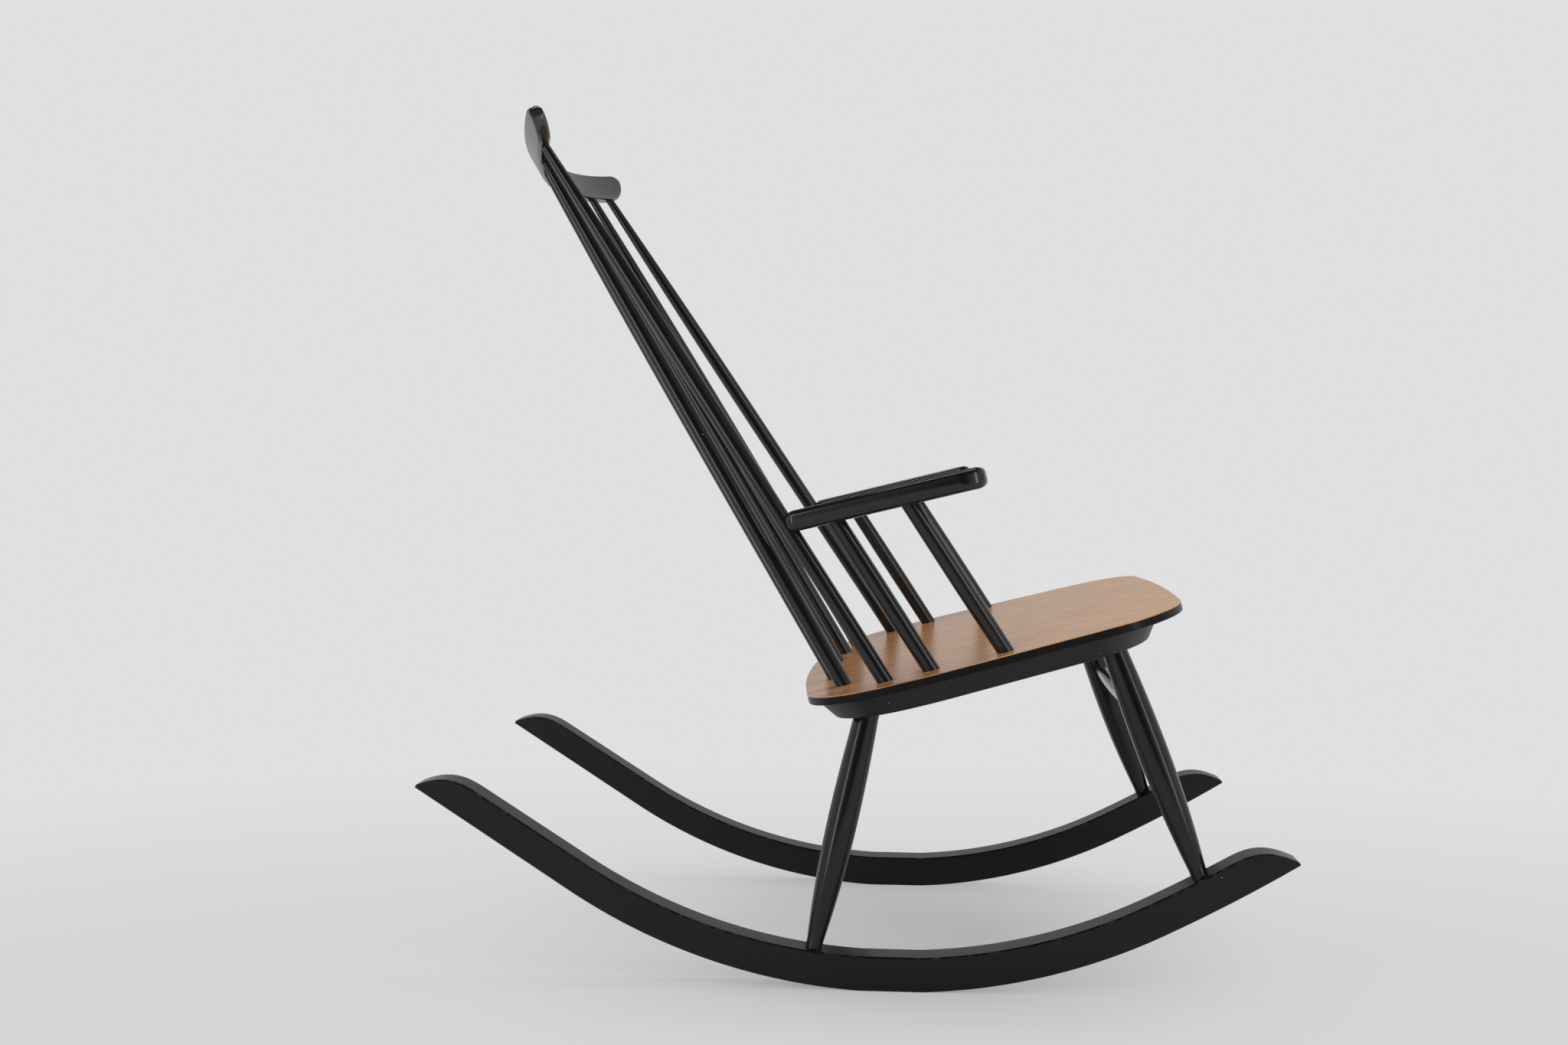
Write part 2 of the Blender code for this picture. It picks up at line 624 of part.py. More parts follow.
def chair_legs():
    legs = []
    front = "front", LEG_FRONT_FOOT - ROCKER_LENGTH / 2, BASE_FRONT + LEG_FRONT_HEAD
    rear = "rear", LEG_REAR_FOOT + ROCKER_LOW_Y, BASE_REAR - LEG_REAR_HEAD
    for side_name, side in SIDES.items():
        for place, foot_y, head_y in (front, rear):
            foot = Vector((side * ROCKER_X, foot_y, rocker_top(foot_y)))
            head = SEAT_FRAME @ Vector((side * LEG_HEAD_X, head_y, UNDERSIDE))
            legs.append(Stick(f"leg_{place}_{side_name}", foot, head, (LEG_FOOT_DEPTH, LEG_HEAD_DEPTH),
                              (LEG_FOOT, LEG_BELLY, LEG_HEAD), LEG_BELLY_AT, LEG_NECK, LEG_SIDES))
    return legs


def make_stretchers(legs, made_legs, material):
    by_name = {leg.name: leg for leg in legs}
    for place in ("front", "rear"):
        ends = [by_name[f"leg_{place}_{side_name}"] for side_name in SIDES]
        heights = [leg.shown - STRETCHER_DROP for leg in ends]
        middles = [leg.at(height) for leg, height in zip(ends, heights)]
        inward = (middles[1] - middles[0]).normalized()
        radius = ends[0].radius_at(heights[0])
        depth = radius - STRETCHER_STOP
        stick = Stick(f"stretcher_{place}", middles[0] + inward * radius, middles[1] - inward * radius,
                      (depth, depth), (STRETCHER_END, STRETCHER_BELLY, STRETCHER_END), 0.5,
                      STRETCHER_NECK, STICK_SIDES)
        stick.make(material)
        for leg, end in zip(ends, ("foot", "head")):
            bore_out(made_legs[leg.name], drill_group(f"cutter_{leg.name}", [stick], end))


def main():
    for item in list(bpy.data.objects):
        bpy.data.objects.remove(item, do_unlink=True)
    black = finish("black_lacquer", (0.012, 0.012, 0.013), 0.30)
    ply = finish("black_edge_board", (0.014, 0.013, 0.013), 0.40)
    teak = finish("teak_veneer", (0.40, 0.22, 0.11), 0.38)
    beech = finish("plain_beech", (0.55, 0.38, 0.22), 0.60)

    seat = bpy.data.objects.new("seat_plane", None)
    bpy.context.collection.objects.link(seat)
    seat.matrix_basis = SEAT_FRAME

    spindles = back_spindles()
    legs = chair_legs()
    rockers = {}
    for side_name, side in SIDES.items():
        rockers[side_name] = make_rocker(side_name, side, black)
    made_legs = {leg.name: leg.make(black) for leg in legs}
    for side_name in SIDES:
        own_legs = [leg for leg in legs if leg.name.endswith(side_name)]
        bore_out(rockers[side_name], drill_group(f"cutter_foot_bores_{side_name}", own_legs, "foot"))
    make_stretchers(legs, made_legs, black)

    made_spindles = {spindle.name: spindle.make(black) for spindle in spindles}
    make_crest(spindles, black)
    outer = {"right": spindles[0], "left": spindles[-1]}
    posts = []
    for side_name, side in SIDES.items():
        own_posts = arm_posts(side_name, side, outer[side_name])
        posts += own_posts
        for post in own_posts:
            post.make(black)
        along_arm, drill, arm = make_arm(side_name, side, outer[side_name], own_posts, black)
        make_dowel(side_name, along_arm, beech)
        bore_out(arm, drill)
        bore_out(made_spindles[outer[side_name].name], drill)
    make_seat(seat, spindles + posts, legs, black, teak, ply)


main()
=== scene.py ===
"""A spindle-back rocking armchair in black lacquer with a teak veneered seat, dressed for pictures.

Metres, +Z up. The chair faces -Y, so the sitter's right hand is at -X. Each stick, slab and rail is made
again from the sizes of its solid, with finer steps and rounder edges, and stands in the solid's place.
"""
import json
import math

import bmesh
import bpy
from bpy.props import FloatProperty, FloatVectorProperty, PointerProperty
from mathutils import Matrix, Vector

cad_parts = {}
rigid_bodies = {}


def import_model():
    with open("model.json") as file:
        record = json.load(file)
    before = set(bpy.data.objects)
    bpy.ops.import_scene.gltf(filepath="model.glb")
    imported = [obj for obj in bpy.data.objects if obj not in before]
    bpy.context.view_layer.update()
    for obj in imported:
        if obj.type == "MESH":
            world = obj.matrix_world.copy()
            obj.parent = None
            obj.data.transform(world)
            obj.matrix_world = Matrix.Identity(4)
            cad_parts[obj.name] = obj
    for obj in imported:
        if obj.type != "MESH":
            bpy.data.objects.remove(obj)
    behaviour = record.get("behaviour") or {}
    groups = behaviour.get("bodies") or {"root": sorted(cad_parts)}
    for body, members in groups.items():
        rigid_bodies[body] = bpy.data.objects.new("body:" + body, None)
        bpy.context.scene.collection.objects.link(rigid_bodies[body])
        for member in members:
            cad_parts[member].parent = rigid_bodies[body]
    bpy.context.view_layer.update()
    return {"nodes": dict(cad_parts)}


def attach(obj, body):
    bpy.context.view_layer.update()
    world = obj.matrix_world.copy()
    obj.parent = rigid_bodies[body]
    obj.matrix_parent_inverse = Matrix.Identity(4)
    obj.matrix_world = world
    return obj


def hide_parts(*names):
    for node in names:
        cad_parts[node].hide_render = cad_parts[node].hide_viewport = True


bl_info = {
    "name": "Spindle-back rocking chair",
    "version": (1, 0, 0),
    "blender": (4, 5, 0),
    "location": "View3D > Sidebar > Rocking chair",
    "description": "Makes a black lacquered rocking armchair with a teak veneered seat",
    "category": "Add Mesh",
}

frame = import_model()

SIDES = {"right": -1, "left": 1}
NOSE_FULLNESS = 1.6         # roundness of the ends of rail and arms
TURN_STEPS = 56             # round a turned stick
PROFILE_STEPS = 40          # along it
EDGE_STEPS = 5              # round an eased edge
RAIL_STEPS = 64             # along the crest rail
ARM_STEPS = 40              # along an arm
SHARP = math.radians(42)    # edges bent by more than this stay sharp
CORNER_STEP = math.radians(2.5)
ARC_STEP = math.radians(0.75)

# Where the lacquer has chipped, and how large each chip is
ROCKER_CHIPS = (((-0.2349, -0.3925, 0.1312), 0.0005),)
SEAT_CHIPS = (((-0.2672, -0.0436, 0.3160), 0.0006), ((-0.2373, -0.2636, 0.3670), 0.0006))
SPINDLE_CHIPS = (((-0.1772, 0.1633, 0.5974), 0.0006),)

# Lamps: name, place, aim, width, height and power
LAMPS = (
    ("ceiling_soft_box", (0.1, 0.0, 2.6), (0.1, 0.0, 0.4), 0.24, 1.8, 9.0),
    ("front_window", (-1.6, -1.8, 1.2), (0.0, 0.0, 0.6), 0.32, 1.8, 6.0),
    ("rear_window", (-1.9, 1.6, 1.0), (0.0, 0.0, 0.5), 0.25, 1.8, 7.0),
)


# Settings

def metres(name, default, description):
    return FloatProperty(name=name, description=description, default=default, unit="LENGTH", precision=4)


def degrees(name, default, description):
    return FloatProperty(name=name, description=description, default=math.radians(default), subtype="ANGLE")


def share(name, default, description):
    return FloatProperty(name=name, description=description, default=default, min=0, max=1,
                         subtype="FACTOR")


def colour(name, default, description):
    return FloatVectorProperty(name=name, description=description, default=default, size=3, min=0, max=1,
                               subtype="COLOR")


class RockerSizes(bpy.types.PropertyGroup):
    """Two bent bars: one long arc, a straight tail and a flatter front, each with a tapered nose."""

    length: metres("Length", 0.948, "From the front tip to the tail, measured level")
    width: metres("Width", 0.0325, "Across one rocker")
    height: metres("Height", 0.0375, "Of the bar under the seat")
    front_height: metres("Front height", 0.0360, "Of the bar near its front tip")
    tail_height: metres("Tail height", 0.0335, "Of the bar near its tail")
    radius: metres("Arc radius", 0.645, "Of the underside")
    front_radius: metres("Front radius", 1.75, "Of the flatter front end")
    low_y: metres("Standing place", -0.0455, "Where the rockers touch the floor")
    flat: metres("Standing flat", 0.068, "Length of the flat they stand on")
    rear_bend: degrees("Rear bend", 32.8, "Slope where the arc runs into the straight tail")
    front_bend: degrees("Front bend", 26.5, "Slope where the arc runs into the front end")
    edge: metres("Edge", 0.002, "Rounding of the long edges")
    nose: metres("Nose", 0.065, "Length of the taper at both ends")
    fullness: FloatProperty(name="Fullness", default=3, min=1, max=6, subtype="FACTOR",
                            description="Roundness of the noses: 1 is a straight taper")
    tip: metres("Tip", 0.004, "Height left at the very end")


class SeatSizes(bpy.types.PropertyGroup):
    """Veneer, board and base frame, stacked on a plane that slopes down to the rear."""

    tilt: degrees("Slope", 14.5, "Of the seat, down to the rear")
    height: metres("Height", 0.3266, "Of the top above the origin")
    front: metres("Front", 0.377, "Along the slope from the origin to the front edge")
    rear: metres("Rear", 0.066, "Along the slope from the origin to the rear edge")
    width: metres("Width", 0.597, "At the widest place")
    widest: metres("Widest place", 0.085, "How far ahead of the origin")
    front_taper: metres("Front taper", 0.0395, "How much narrower the front is on each side")
    rear_taper: metres("Rear taper", 0.0065, "How much narrower the rear is on each side")
    front_sweep: metres("Front sweep", 0.014, "Corners behind the tip of the front edge")
    rear_sweep: metres("Rear sweep", 0.026, "Corners ahead of the tip of the rear edge")
    front_corner: metres("Front corner", 0.078, "Reach of the rounding")
    rear_corner: metres("Rear corner", 0.086, "Reach of the rounding")
    widest_corner: metres("Widest corner", 0.030, "Reach of the rounding")
    middle_blend: metres("Middle blend", 0.140, "Reach of the rounding where front and rear edges peak")
    glue: metres("Glue", 0.0003, "Between two layers")
    veneer: metres("Veneer", 0.001, "Thickness")
    veneer_edge: metres("Veneer edge", 0.0003, "Rounding above")
    board: metres("Board", 0.0082, "Thickness")
    board_edge: metres("Board edge", 0.0012, "Rounding below")
    base: metres("Base", 0.024, "Thickness of the frame under the board")
    base_edge: metres("Base edge", 0.0015, "Rounding of the frame")
    base_flare: metres("Base flare", 0.017, "How far the frame's top stands outside its underside")
    base_front_inset: metres("Base front inset", 0.040, "Underside, behind the board's front edge")
    base_rear_inset: metres("Base rear inset", 0.023, "Underside, ahead of the board's rear edge")
    base_side_inset: metres("Base side inset", 0.0353, "Underside, inside the board's sides")
    base_front_corner: metres("Base front corner", 0.068, "Reach of the rounding")
    base_rear_corner: metres("Base rear corner", 0.076, "Reach of the rounding")
    base_widest_corner: metres("Base widest corner", 0.024, "Reach of the rounding")
    front_rail: metres("Front rail", 0.022, "Width of the frame's front, below")
    rear_rail: metres("Rear rail", 0.088, "Width of the frame's rear, below")
    side_rail: metres("Side rail", 0.026, "Width of the frame's sides, below")
    block: metres("Corner block", 0.074, "From the frame's front edge to the rear of its leg blocks")
    window_corner: metres("Window corner", 0.018, "Reach of the rounding beside the leg blocks")
    window_rear_corner: metres("Window rear corner", 0.030, "Reach of the rounding")


class BackSizes(bpy.types.PropertyGroup):
    """Eight spindles that fan up from the seat into a bent crest rail."""

    height: metres("Chair height", 0.9298, "To the middle of the crest rail's top")
    lean: degrees("Lean", 30.1, "Of the back from upright")
    setback: metres("Setback", 0.0392, "From the seat's rear edge to the arc of feet")
    sweep: metres("Sweep", 0.0206, "How far the arc of feet comes forward at its ends")
    outer_foot: metres("Outer foot", 0.0413, "Outer spindles' feet, ahead of the origin")
    stick_inset: metres("Stick inset", 0.045, "From the seat's widest edge to posts and outer spindles")
    corner_gap: metres("Corner gap", 0.05425, "From the outer spindle's line to the arc's last spindle")
    foot: metres("Spindle foot", 0.0174, "Diameter")
    belly: metres("Spindle belly", 0.0178, "Diameter")
    head: metres("Spindle head", 0.0096, "Diameter")
    belly_at: share("Belly place", 0.47, "Share of the spindle's length")
    neck: metres("Spindle neck", 0.005, "Even length at both ends")
    foot_tenon: metres("Foot tenon", 0.0165, "How deep a spindle goes into the seat")
    head_tenon: metres("Head tenon", 0.016, "How deep a spindle goes into the crest rail")
    rail_length: metres("Rail length", 0.462, "Along the bend")
    rail_overhang: metres("Rail overhang", 0.042, "From the outer spindles to the ends")
    rail_radius: metres("Rail radius", 0.600, "Of the bend")
    rail_height: metres("Rail height", 0.0355, "Of the crest rail")
    rail_thickness: metres("Rail thickness", 0.0155, "Of the crest rail")
    rail_edge: metres("Rail edge", 0.005, "Rounding of the long edges")
    rail_nose: metres("Rail nose", 0.030, "Rounding of the ends, below")
    rail_top_nose: metres("Rail top nose", 0.014, "Rounding of the ends, above")
    rail_tip_rise: share("Rail tip rise", 0.60, "Underside at the very end, as a share of the height")
    rail_tip_height: share("Rail tip height", 0.77, "Top at the very end, as a share of the height")
    rail_tip_thickness: share("Rail tip thickness", 0.94, "Left at the very end")


class ArmSizes(bpy.types.PropertyGroup):
    """Two short arms on two posts each, coped to the outer spindles."""

    rise: metres("Rise", 0.1977, "From the seat to the arm, along the outer spindle")
    length: metres("Length", 0.2190, "From the spindle's middle to the front tip")
    slope: degrees("Slope", 13.4, "Of the arms, down to the rear")
    spread: degrees("Spread", 8.0, "Outward turn of the front ends")
    thickness: metres("Thickness", 0.0225, "Of an arm")
    rear_width: metres("Rear width", 0.029, "At the spindle")
    front_width: metres("Front width", 0.047, "At the widest place")
    edge: metres("Edge", 0.0075, "Rounding of the long edges")
    nose: metres("Nose", 0.024, "Length of the rounded front end")
    rear_nose: metres("Rear nose", 0.008, "Length of the rounded rear end")
    tip_width: share("Tip width", 0.35, "Left at the front tip")
    rear_tip_width: share("Rear tip width", 0.80, "Left at the rear end")
    tip_thickness: share("Tip thickness", 0.55, "Left at both ends")
    cope: metres("Cope", 0.0050, "How far the arm reaches round the spindle")
    rear_post_foot: metres("Rear post foot", 0.0909, "Ahead of the origin")
    front_post_foot: metres("Front post foot", 0.1706, "Ahead of the origin")
    rear_post_head: metres("Rear post head", 0.051, "Along the arm from the spindle")
    front_post_head: metres("Front post head", 0.131, "Along the arm from the spindle")
    post_end: metres("Post end", 0.0176, "Diameter")
    post_belly: metres("Post belly", 0.0183, "Diameter")
    post_neck: metres("Post neck", 0.006, "Even length at both ends")
    post_tenon: metres("Post tenon", 0.0105, "How deep a post goes into the seat")
    post_reach: metres("Post reach", 0.004, "How far a post goes past the middle of the arm")


class LegSizes(bpy.types.PropertyGroup):
    """Four double tapered legs, with a stretcher between each pair."""

    front_foot: metres("Front foot", 0.1015, "Behind the rockers' front tips")
    rear_foot: metres("Rear foot", 0.0833, "Behind the place where the rockers touch the floor")
    head_inset: metres("Head inset", 0.1085, "From the seat's widest edge to the legs' heads")
    head_block: metres("Block side", 0.030, "From a front leg's head to the inner side of its corner block")
    splay: metres("Splay", 0.02865, "How far a foot stands outside its head")
    front_head: metres("Front head", 0.0520, "Behind the front edge of the base")
    rear_head: metres("Rear head", 0.0547, "Ahead of the rear edge of the base")
    foot: metres("Leg foot", 0.0182, "Diameter")
    belly: metres("Leg belly", 0.0330, "Diameter")
    head: metres("Leg head", 0.0268, "Diameter")
    belly_at: share("Belly place", 0.56, "Share of the leg's length")
    neck: metres("Leg neck", 0.008, "Even length at both ends")
    foot_tenon: metres("Foot tenon", 0.020, "How deep a leg goes into the rocker")
    head_tenon: metres("Head tenon", 0.013, "How deep a leg goes into the base")
    stretcher_drop: metres("Stretcher drop", 0.071, "Below the seat, along the legs")
    stretcher_end: metres("Stretcher end", 0.011, "Diameter")
    stretcher_belly: metres("Stretcher belly", 0.018, "Diameter")
    stretcher_neck: metres("Stretcher neck", 0.006, "Even length at both ends")
    stretcher_stop: metres("Stretcher stop", 0.004, "How far its ends stop short of the legs' middles")


class FinishSettings(bpy.types.PropertyGroup):
    """Colours and sheen of the lacquer and the wood."""

    black: colour("Black", (0.0042, 0.0042, 0.0045), "Lacquer in its even places")
    faded_black: colour("Faded black", (0.0062, 0.0061, 0.0062), "Lacquer where it is rubbed")
    rubbed: colour("Rubbed edge", (0.050, 0.042, 0.036), "Thin lacquer along the edges")
    chip: colour("Chip", (0.52, 0.47, 0.42), "Bare wood in small chips")
    teak_light: colour("Light teak", (0.640, 0.322, 0.136), "Pale bands of the veneer")
    teak: colour("Teak", (0.520, 0.236, 0.089), "Main tone of the veneer")
    teak_dark: colour("Dark teak", (0.227, 0.091, 0.033), "Dark lines of the veneer")
    # Painted sheen: a paler golden teak painted over the front of the veneer, in place of the sheen seen
    # there
    teak_front_sheen: colour("Teak front sheen", (0.730, 0.400, 0.118), "Painted sheen: veneer painted paler towards the front")
    beech: colour("Beech", (0.55, 0.38, 0.22), "Bare wood of the hidden dowels")
    gloss: share("Lacquer roughness", 0.30, "Roughness of the lacquer in its even places")
    satin: share("Veneer roughness", 0.17, "Roughness of the varnished veneer")


class StudioSettings(bpy.types.PropertyGroup):
    """Camera, light and floor."""

    eye: FloatVectorProperty(name="Eye", description="Where the camera stands", size=3, precision=4,
                             default=(-1.9395, -0.0741, 0.5658), subtype="TRANSLATION")
    yaw: degrees("Yaw", 4.787, "Turn of the view from straight across the chair")
    pitch: degrees("Pitch", -2.114, "Tilt of the view")
    lens: FloatProperty(name="Lens", description="Focal length for a frame 36 mm wide", default=36.914,
                        unit="CAMERA")
    backdrop: colour("Backdrop", (0.745, 0.745, 0.750), "Wall behind the chair")
    ambient: colour("Ambient", (0.78, 0.78, 0.785), "Soft light from all round")
    room: colour("Room", (0.08, 0.08, 0.085), "Dim side of the room, as gloss mirrors it")
    walls: colour("Walls", (0.43, 0.43, 0.435), "Bright side of the room, as gloss mirrors it")
    ends: colour("Room ends", (0.72, 0.73, 0.75), "The room's bright front and rear, as gloss mirrors them")
    floor: colour("Floor", (0.680, 0.675, 0.667), "Floor near the chair")
    shadow_lift: share("Shadow lift", 0.35, "How far the floor's shadow is lightened under the chair")
    far_lift: share("Far lift", 0.85, "How far the floor's shadow is lightened beside the chair")
    wall_at: metres("Wall", 0.95, "Where the floor gives way to the backdrop, behind the chair")
    floor_reach: metres("Floor reach", 2.6, "Radius of the floor that is seen")


class ChairSettings(bpy.types.PropertyGroup):
    """All settings of the chair and its stage."""

    rockers: PointerProperty(type=RockerSizes, name="Rockers", description="Sizes of the rockers")
    seat: PointerProperty(type=SeatSizes, name="Seat", description="Sizes of the seat's layers")
    back: PointerProperty(type=BackSizes, name="Back", description="Sizes of spindles and crest rail")
    arms: PointerProperty(type=ArmSizes, name="Arms", description="Sizes of arms and posts")
    legs: PointerProperty(type=LegSizes, name="Legs", description="Sizes of legs and stretchers")
    finish: PointerProperty(type=FinishSettings, name="Finish", description="Colours and sheen")
    studio: PointerProperty(type=StudioSettings, name="Studio", description="Camera, light and floor")


# Shapes that several pieces share

def new_piece(name, bm, material, slot, *nodes):
    """Turn a bmesh into a smooth object that stands for its solids."""
    bmesh.ops.remove_doubles(bm, verts=bm.verts, dist=0.000001)
    bmesh.ops.recalc_face_normals(bm, faces=bm.faces)
    mesh = bpy.data.meshes.new(name)
    bm.to_mesh(mesh)
    bm.free()
    mesh.shade_smooth()
    mesh.set_sharp_from_angle(angle=SHARP)
    mesh.materials.append(material)
    piece = bpy.data.objects.new(name, mesh)
    bpy.context.scene.collection.objects.link(piece)
    even = piece.modifiers.new("even_shading", "WEIGHTED_NORMAL")
    even.keep_sharp = True
    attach(piece, "root")
    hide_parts(*nodes)
    return piece


def grain_layers(bm):
    """Layers that carry each point's place along the grain, and how far it lies on an eased edge."""
    return bm.verts.layers.float_vector.new("grain"), bm.verts.layers.float.new("edge")


def rounded_section(half_width, low, high, radius):
    """Points of an upright rectangle with round corners, as (across, up, on the edge)."""
    radius = min(radius, 0.45 * (high - low), 0.9 * half_width)
    points = []
    corners = ((1, high, 0), (-1, high, 90), (-1, low, 180), (1, low, 270))
    for side, level, start in corners:
        middle_x = side * (half_width - radius)
        middle_z = level - radius if level == high else level + radius
        for step in range(EDGE_STEPS + 1):
            angle = math.radians(start + 90 * step / EDGE_STEPS)
            on_edge = math.sin(math.pi * step / EDGE_STEPS)
            x = middle_x + radius * math.cos(angle)
            points.append((x, middle_z + radius * math.sin(angle), on_edge))
    return points


def loft(sections):
    """Extrude a section's face from place to place. A section lists (point, grain, on the edge)."""
    bm = bmesh.new()
    grain, edge = grain_layers(bm)
    cap = bm.faces.new([bm.verts.new(point) for point, _, _ in sections[0]])
    for index, section in enumerate(sections):
        if index:
            cap = bmesh.ops.extrude_discrete_faces(bm, faces=[cap])["faces"][0]
        for vert, (point, along, on_edge) in zip(cap.verts, section):
            vert.co = point
            vert[grain] = along
            vert[edge] = on_edge
    bmesh.ops.holes_fill(bm, edges=list(bm.edges), sides=0)
    return bm


def nose_share(distance, length, fullness=NOSE_FULLNESS):
    """How full a tapered end is at a distance from its tip, from 0 to 1."""
    if distance >= length:
        return 1.0
    return (1 - (1 - distance / length) ** fullness) ** (1 / fullness)


def grown(least, part):
    """A share that grows from its least value at a tip to 1."""
    return least + (1 - least) * part


def tip_spots(length, steps):
    """Distances from a tip, close together at the tip and wide apart at the end of its nose."""
    return [length * (step / steps) ** 2 for step in range(steps)]


class Stick:
    """A turned stick between two places on the wood that holds it, with a buried length at each end."""

    def __init__(self, node, foot, head, buried, diameters, belly_at, neck):
        self.node = node
        self.foot = Vector(foot)
        self.head = Vector(head)
        self.buried = buried
        self.radii = [diameter / 2 for diameter in diameters]
        self.belly_at = belly_at
        self.neck = neck
        self.axis = (self.head - self.foot).normalized()
        self.shown = (self.head - self.foot).length

    def radius_at(self, height):
        """Radius at a height above the foot: even necks at both ends, and a belly between."""
        foot, belly, head = self.radii
        part = (height - self.neck) / (self.shown - 2 * self.neck)
        part = min(max(part, 0), 1)
        if part < self.belly_at:
            return belly - (belly - foot) * (1 - part / self.belly_at) ** 2
        return belly - (belly - head) * ((part - self.belly_at) / (1 - self.belly_at)) ** 2

    def at(self, height):
        return self.foot + self.axis * height

    def make(self, material):
        """Spin the profile into a stick, keep its own coordinates as grain, and stand it in place."""
        low, high = -self.buried[0], self.shown + self.buried[1]
        inner = self.shown - 2 * self.neck
        heights = [low]
        heights += [self.neck + inner * step / PROFILE_STEPS for step in range(PROFILE_STEPS + 1)]
        heights += [high]
        bm = bmesh.new()
        grain, _ = grain_layers(bm)
        profile = [bm.verts.new((0, 0, low))]
        profile += [bm.verts.new((self.radius_at(height), 0, height)) for height in heights]
        profile += [bm.verts.new((0, 0, high))]
        edges = [bm.edges.new(ends) for ends in zip(profile, profile[1:])]
        bmesh.ops.spin(bm, geom=profile + edges, cent=(0, 0, 0), axis=(0, 0, 1), dvec=(0, 0, 0),
                       angle=math.tau, steps=TURN_STEPS, use_merge=True)
        offset = Vector((0.31, 0.17, 0.23)) * len(bpy.data.objects)
        for vert in bm.verts:
            vert[grain] = vert.co + offset
        turn = self.axis.to_track_quat("Z", "Y").to_matrix().to_4x4()
        bmesh.ops.transform(bm, matrix=Matrix.Translation(self.foot) @ turn, verts=bm.verts)
        return new_piece(f"turned_{self.node}", bm, material, "black_lacquer", self.node)


# Rockers

def rocker_stations(rocker):
    """Places along the underside from the front tip to the tail: (y, z, slope angle)."""
    spots = []
    half_step = math.asin(rocker.flat / 2 / rocker.radius)
    lift = rocker.radius * (1 - math.cos(half_step))

    def arc_spot(angle):
        y = rocker.low_y + rocker.radius * math.sin(angle)
        return y, rocker.radius * (1 - math.cos(angle)) - lift, angle

    front_y, front_z, _ = arc_spot(-rocker.front_bend)
    tip_bend = math.asin(math.sin(rocker.front_bend) + (front_y + rocker.length / 2) / rocker.front_radius)
    # Shares of the way from a tip to the arc, close together over the nose
    tips = [*tip_spots(0.56, 22), 0.57, 0.66, 0.76, 0.88]
    for tip in tips:
        bend = tip_bend + (rocker.front_bend - tip_bend) * tip
        y = front_y - rocker.front_radius * (math.sin(bend) - math.sin(rocker.front_bend))
        z = front_z + rocker.front_radius * (math.cos(rocker.front_bend) - math.cos(bend))
        spots.append((y, z, -bend))
    for bend, way in ((rocker.front_bend, -1), (rocker.rear_bend, 1)):
        steps = math.ceil((bend - half_step) / ARC_STEP)
        angles = [half_step + (bend - half_step) * step / steps for step in range(steps + 1)]
        spots += [arc_spot(way * angle) for angle in (angles if way > 0 else reversed(angles))]
    tail_y, tail_z, _ = spots[-1]
    run = rocker.length / 2 - tail_y
    for tip in reversed(tips):
        y = tail_y + run * (1 - tip)
        spots.append((y, tail_z + run * (1 - tip) * math.tan(rocker.rear_bend), rocker.rear_bend))
    return spots


def rocker_heights(rocker, spots):
    """Height of the bar at each place: a slow taper to both ends, and a nose at both tips."""
    first, last = Vector(spots[0][:2]), Vector(spots[-1][:2])
    heights = []
    for y, z, _ in spots:
        end_height = rocker.tail_height if y > 0 else rocker.front_height
        height = rocker.height + (end_height - rocker.height) * abs(y) / (rocker.length / 2)
        here = Vector((y, z))
        tip = min((here - first).length, (here - last).length)
        taper = (1 - min(tip / rocker.nose, 1)) ** rocker.fullness
        heights.append(height - (height - rocker.tip) * taper)
    return heights


def rocker_top(rocker, y):
    """Height of the rocker's upper side above the floor at a place along it."""
    spots = rocker_stations(rocker)
    tops = []
    for (spot_y, spot_z, angle), height in zip(spots, rocker_heights(rocker, spots)):
        tops.append((spot_y - height * math.sin(angle), spot_z + height * math.cos(angle)))
    for (y0, z0), (y1, z1) in zip(tops, tops[1:]):
        if y0 <= y <= y1:
            return z0 + (z1 - z0) * (y - y0) / (y1 - y0)
    raise ValueError("no rocker below this place")


def rocker_x(sizes):
    return sizes.seat.width / 2 - sizes.legs.head_inset + sizes.legs.splay


def make_rocker(sizes, side_name, side, material):
    rocker = sizes.rockers
    spots = rocker_stations(rocker)
    sections = []
    run = 0.0
    last = Vector(spots[0][:2])
    for (y, z, angle), height in zip(spots, rocker_heights(rocker, spots)):
        run += (Vector((y, z)) - last).length
        last = Vector((y, z))
        section = []
        for across, up, on_edge in rounded_section(rocker.width / 2, 0, height, rocker.edge):
            point = (side * rocker_x(sizes) + across, y - up * math.sin(angle), z + up * math.cos(angle))
            section.append((point, (across, up, run + side), on_edge))
        sections.append(section)
    node = f"rocker_{side_name}"
    return new_piece(f"shaped_{node}", loft(sections), material, "black_lacquer", node)


# Seat

def seat_frame(seat):
    return Matrix.Translation((0, 0, seat.height)) @ Matrix.Rotation(-seat.tilt, 4, "X")


def round_corner(before, corner, after, reach):
    """A round arc that replaces a corner, starting and ending at the reach from it."""
    start = corner + (before - corner).normalized() * reach
    end = corner + (after - corner).normalized() * reach
    half_angle = (before - corner).angle(after - corner) / 2
    weight = math.sin(half_angle)
    points = []
    steps = math.ceil((math.pi - 2 * half_angle) / CORNER_STEP) + 1
    for step in range(steps + 1):
        t = step / steps
        parts = (1 - t) ** 2, 2 * weight * t * (1 - t), t ** 2
        points.append((start * parts[0] + corner * parts[1] + end * parts[2]) / sum(parts))
    return points


def rounded_outline(corners):
    """Outline of a flat piece from its corners, each given as (x, y, reach of its rounding)."""
    spots = [Vector(corner[:2]) for corner in corners]
    outline = []
    for index, (_, _, reach) in enumerate(corners):
        before, after = spots[index - 1], spots[(index + 1) % len(spots)]
        outline += round_corner(before, spots[index], after, reach)
    return outline


def mirrored(half):
    """The same corners on the other side, in reverse order."""
    return [(-x, y, reach) for x, y, reach in reversed(half)]


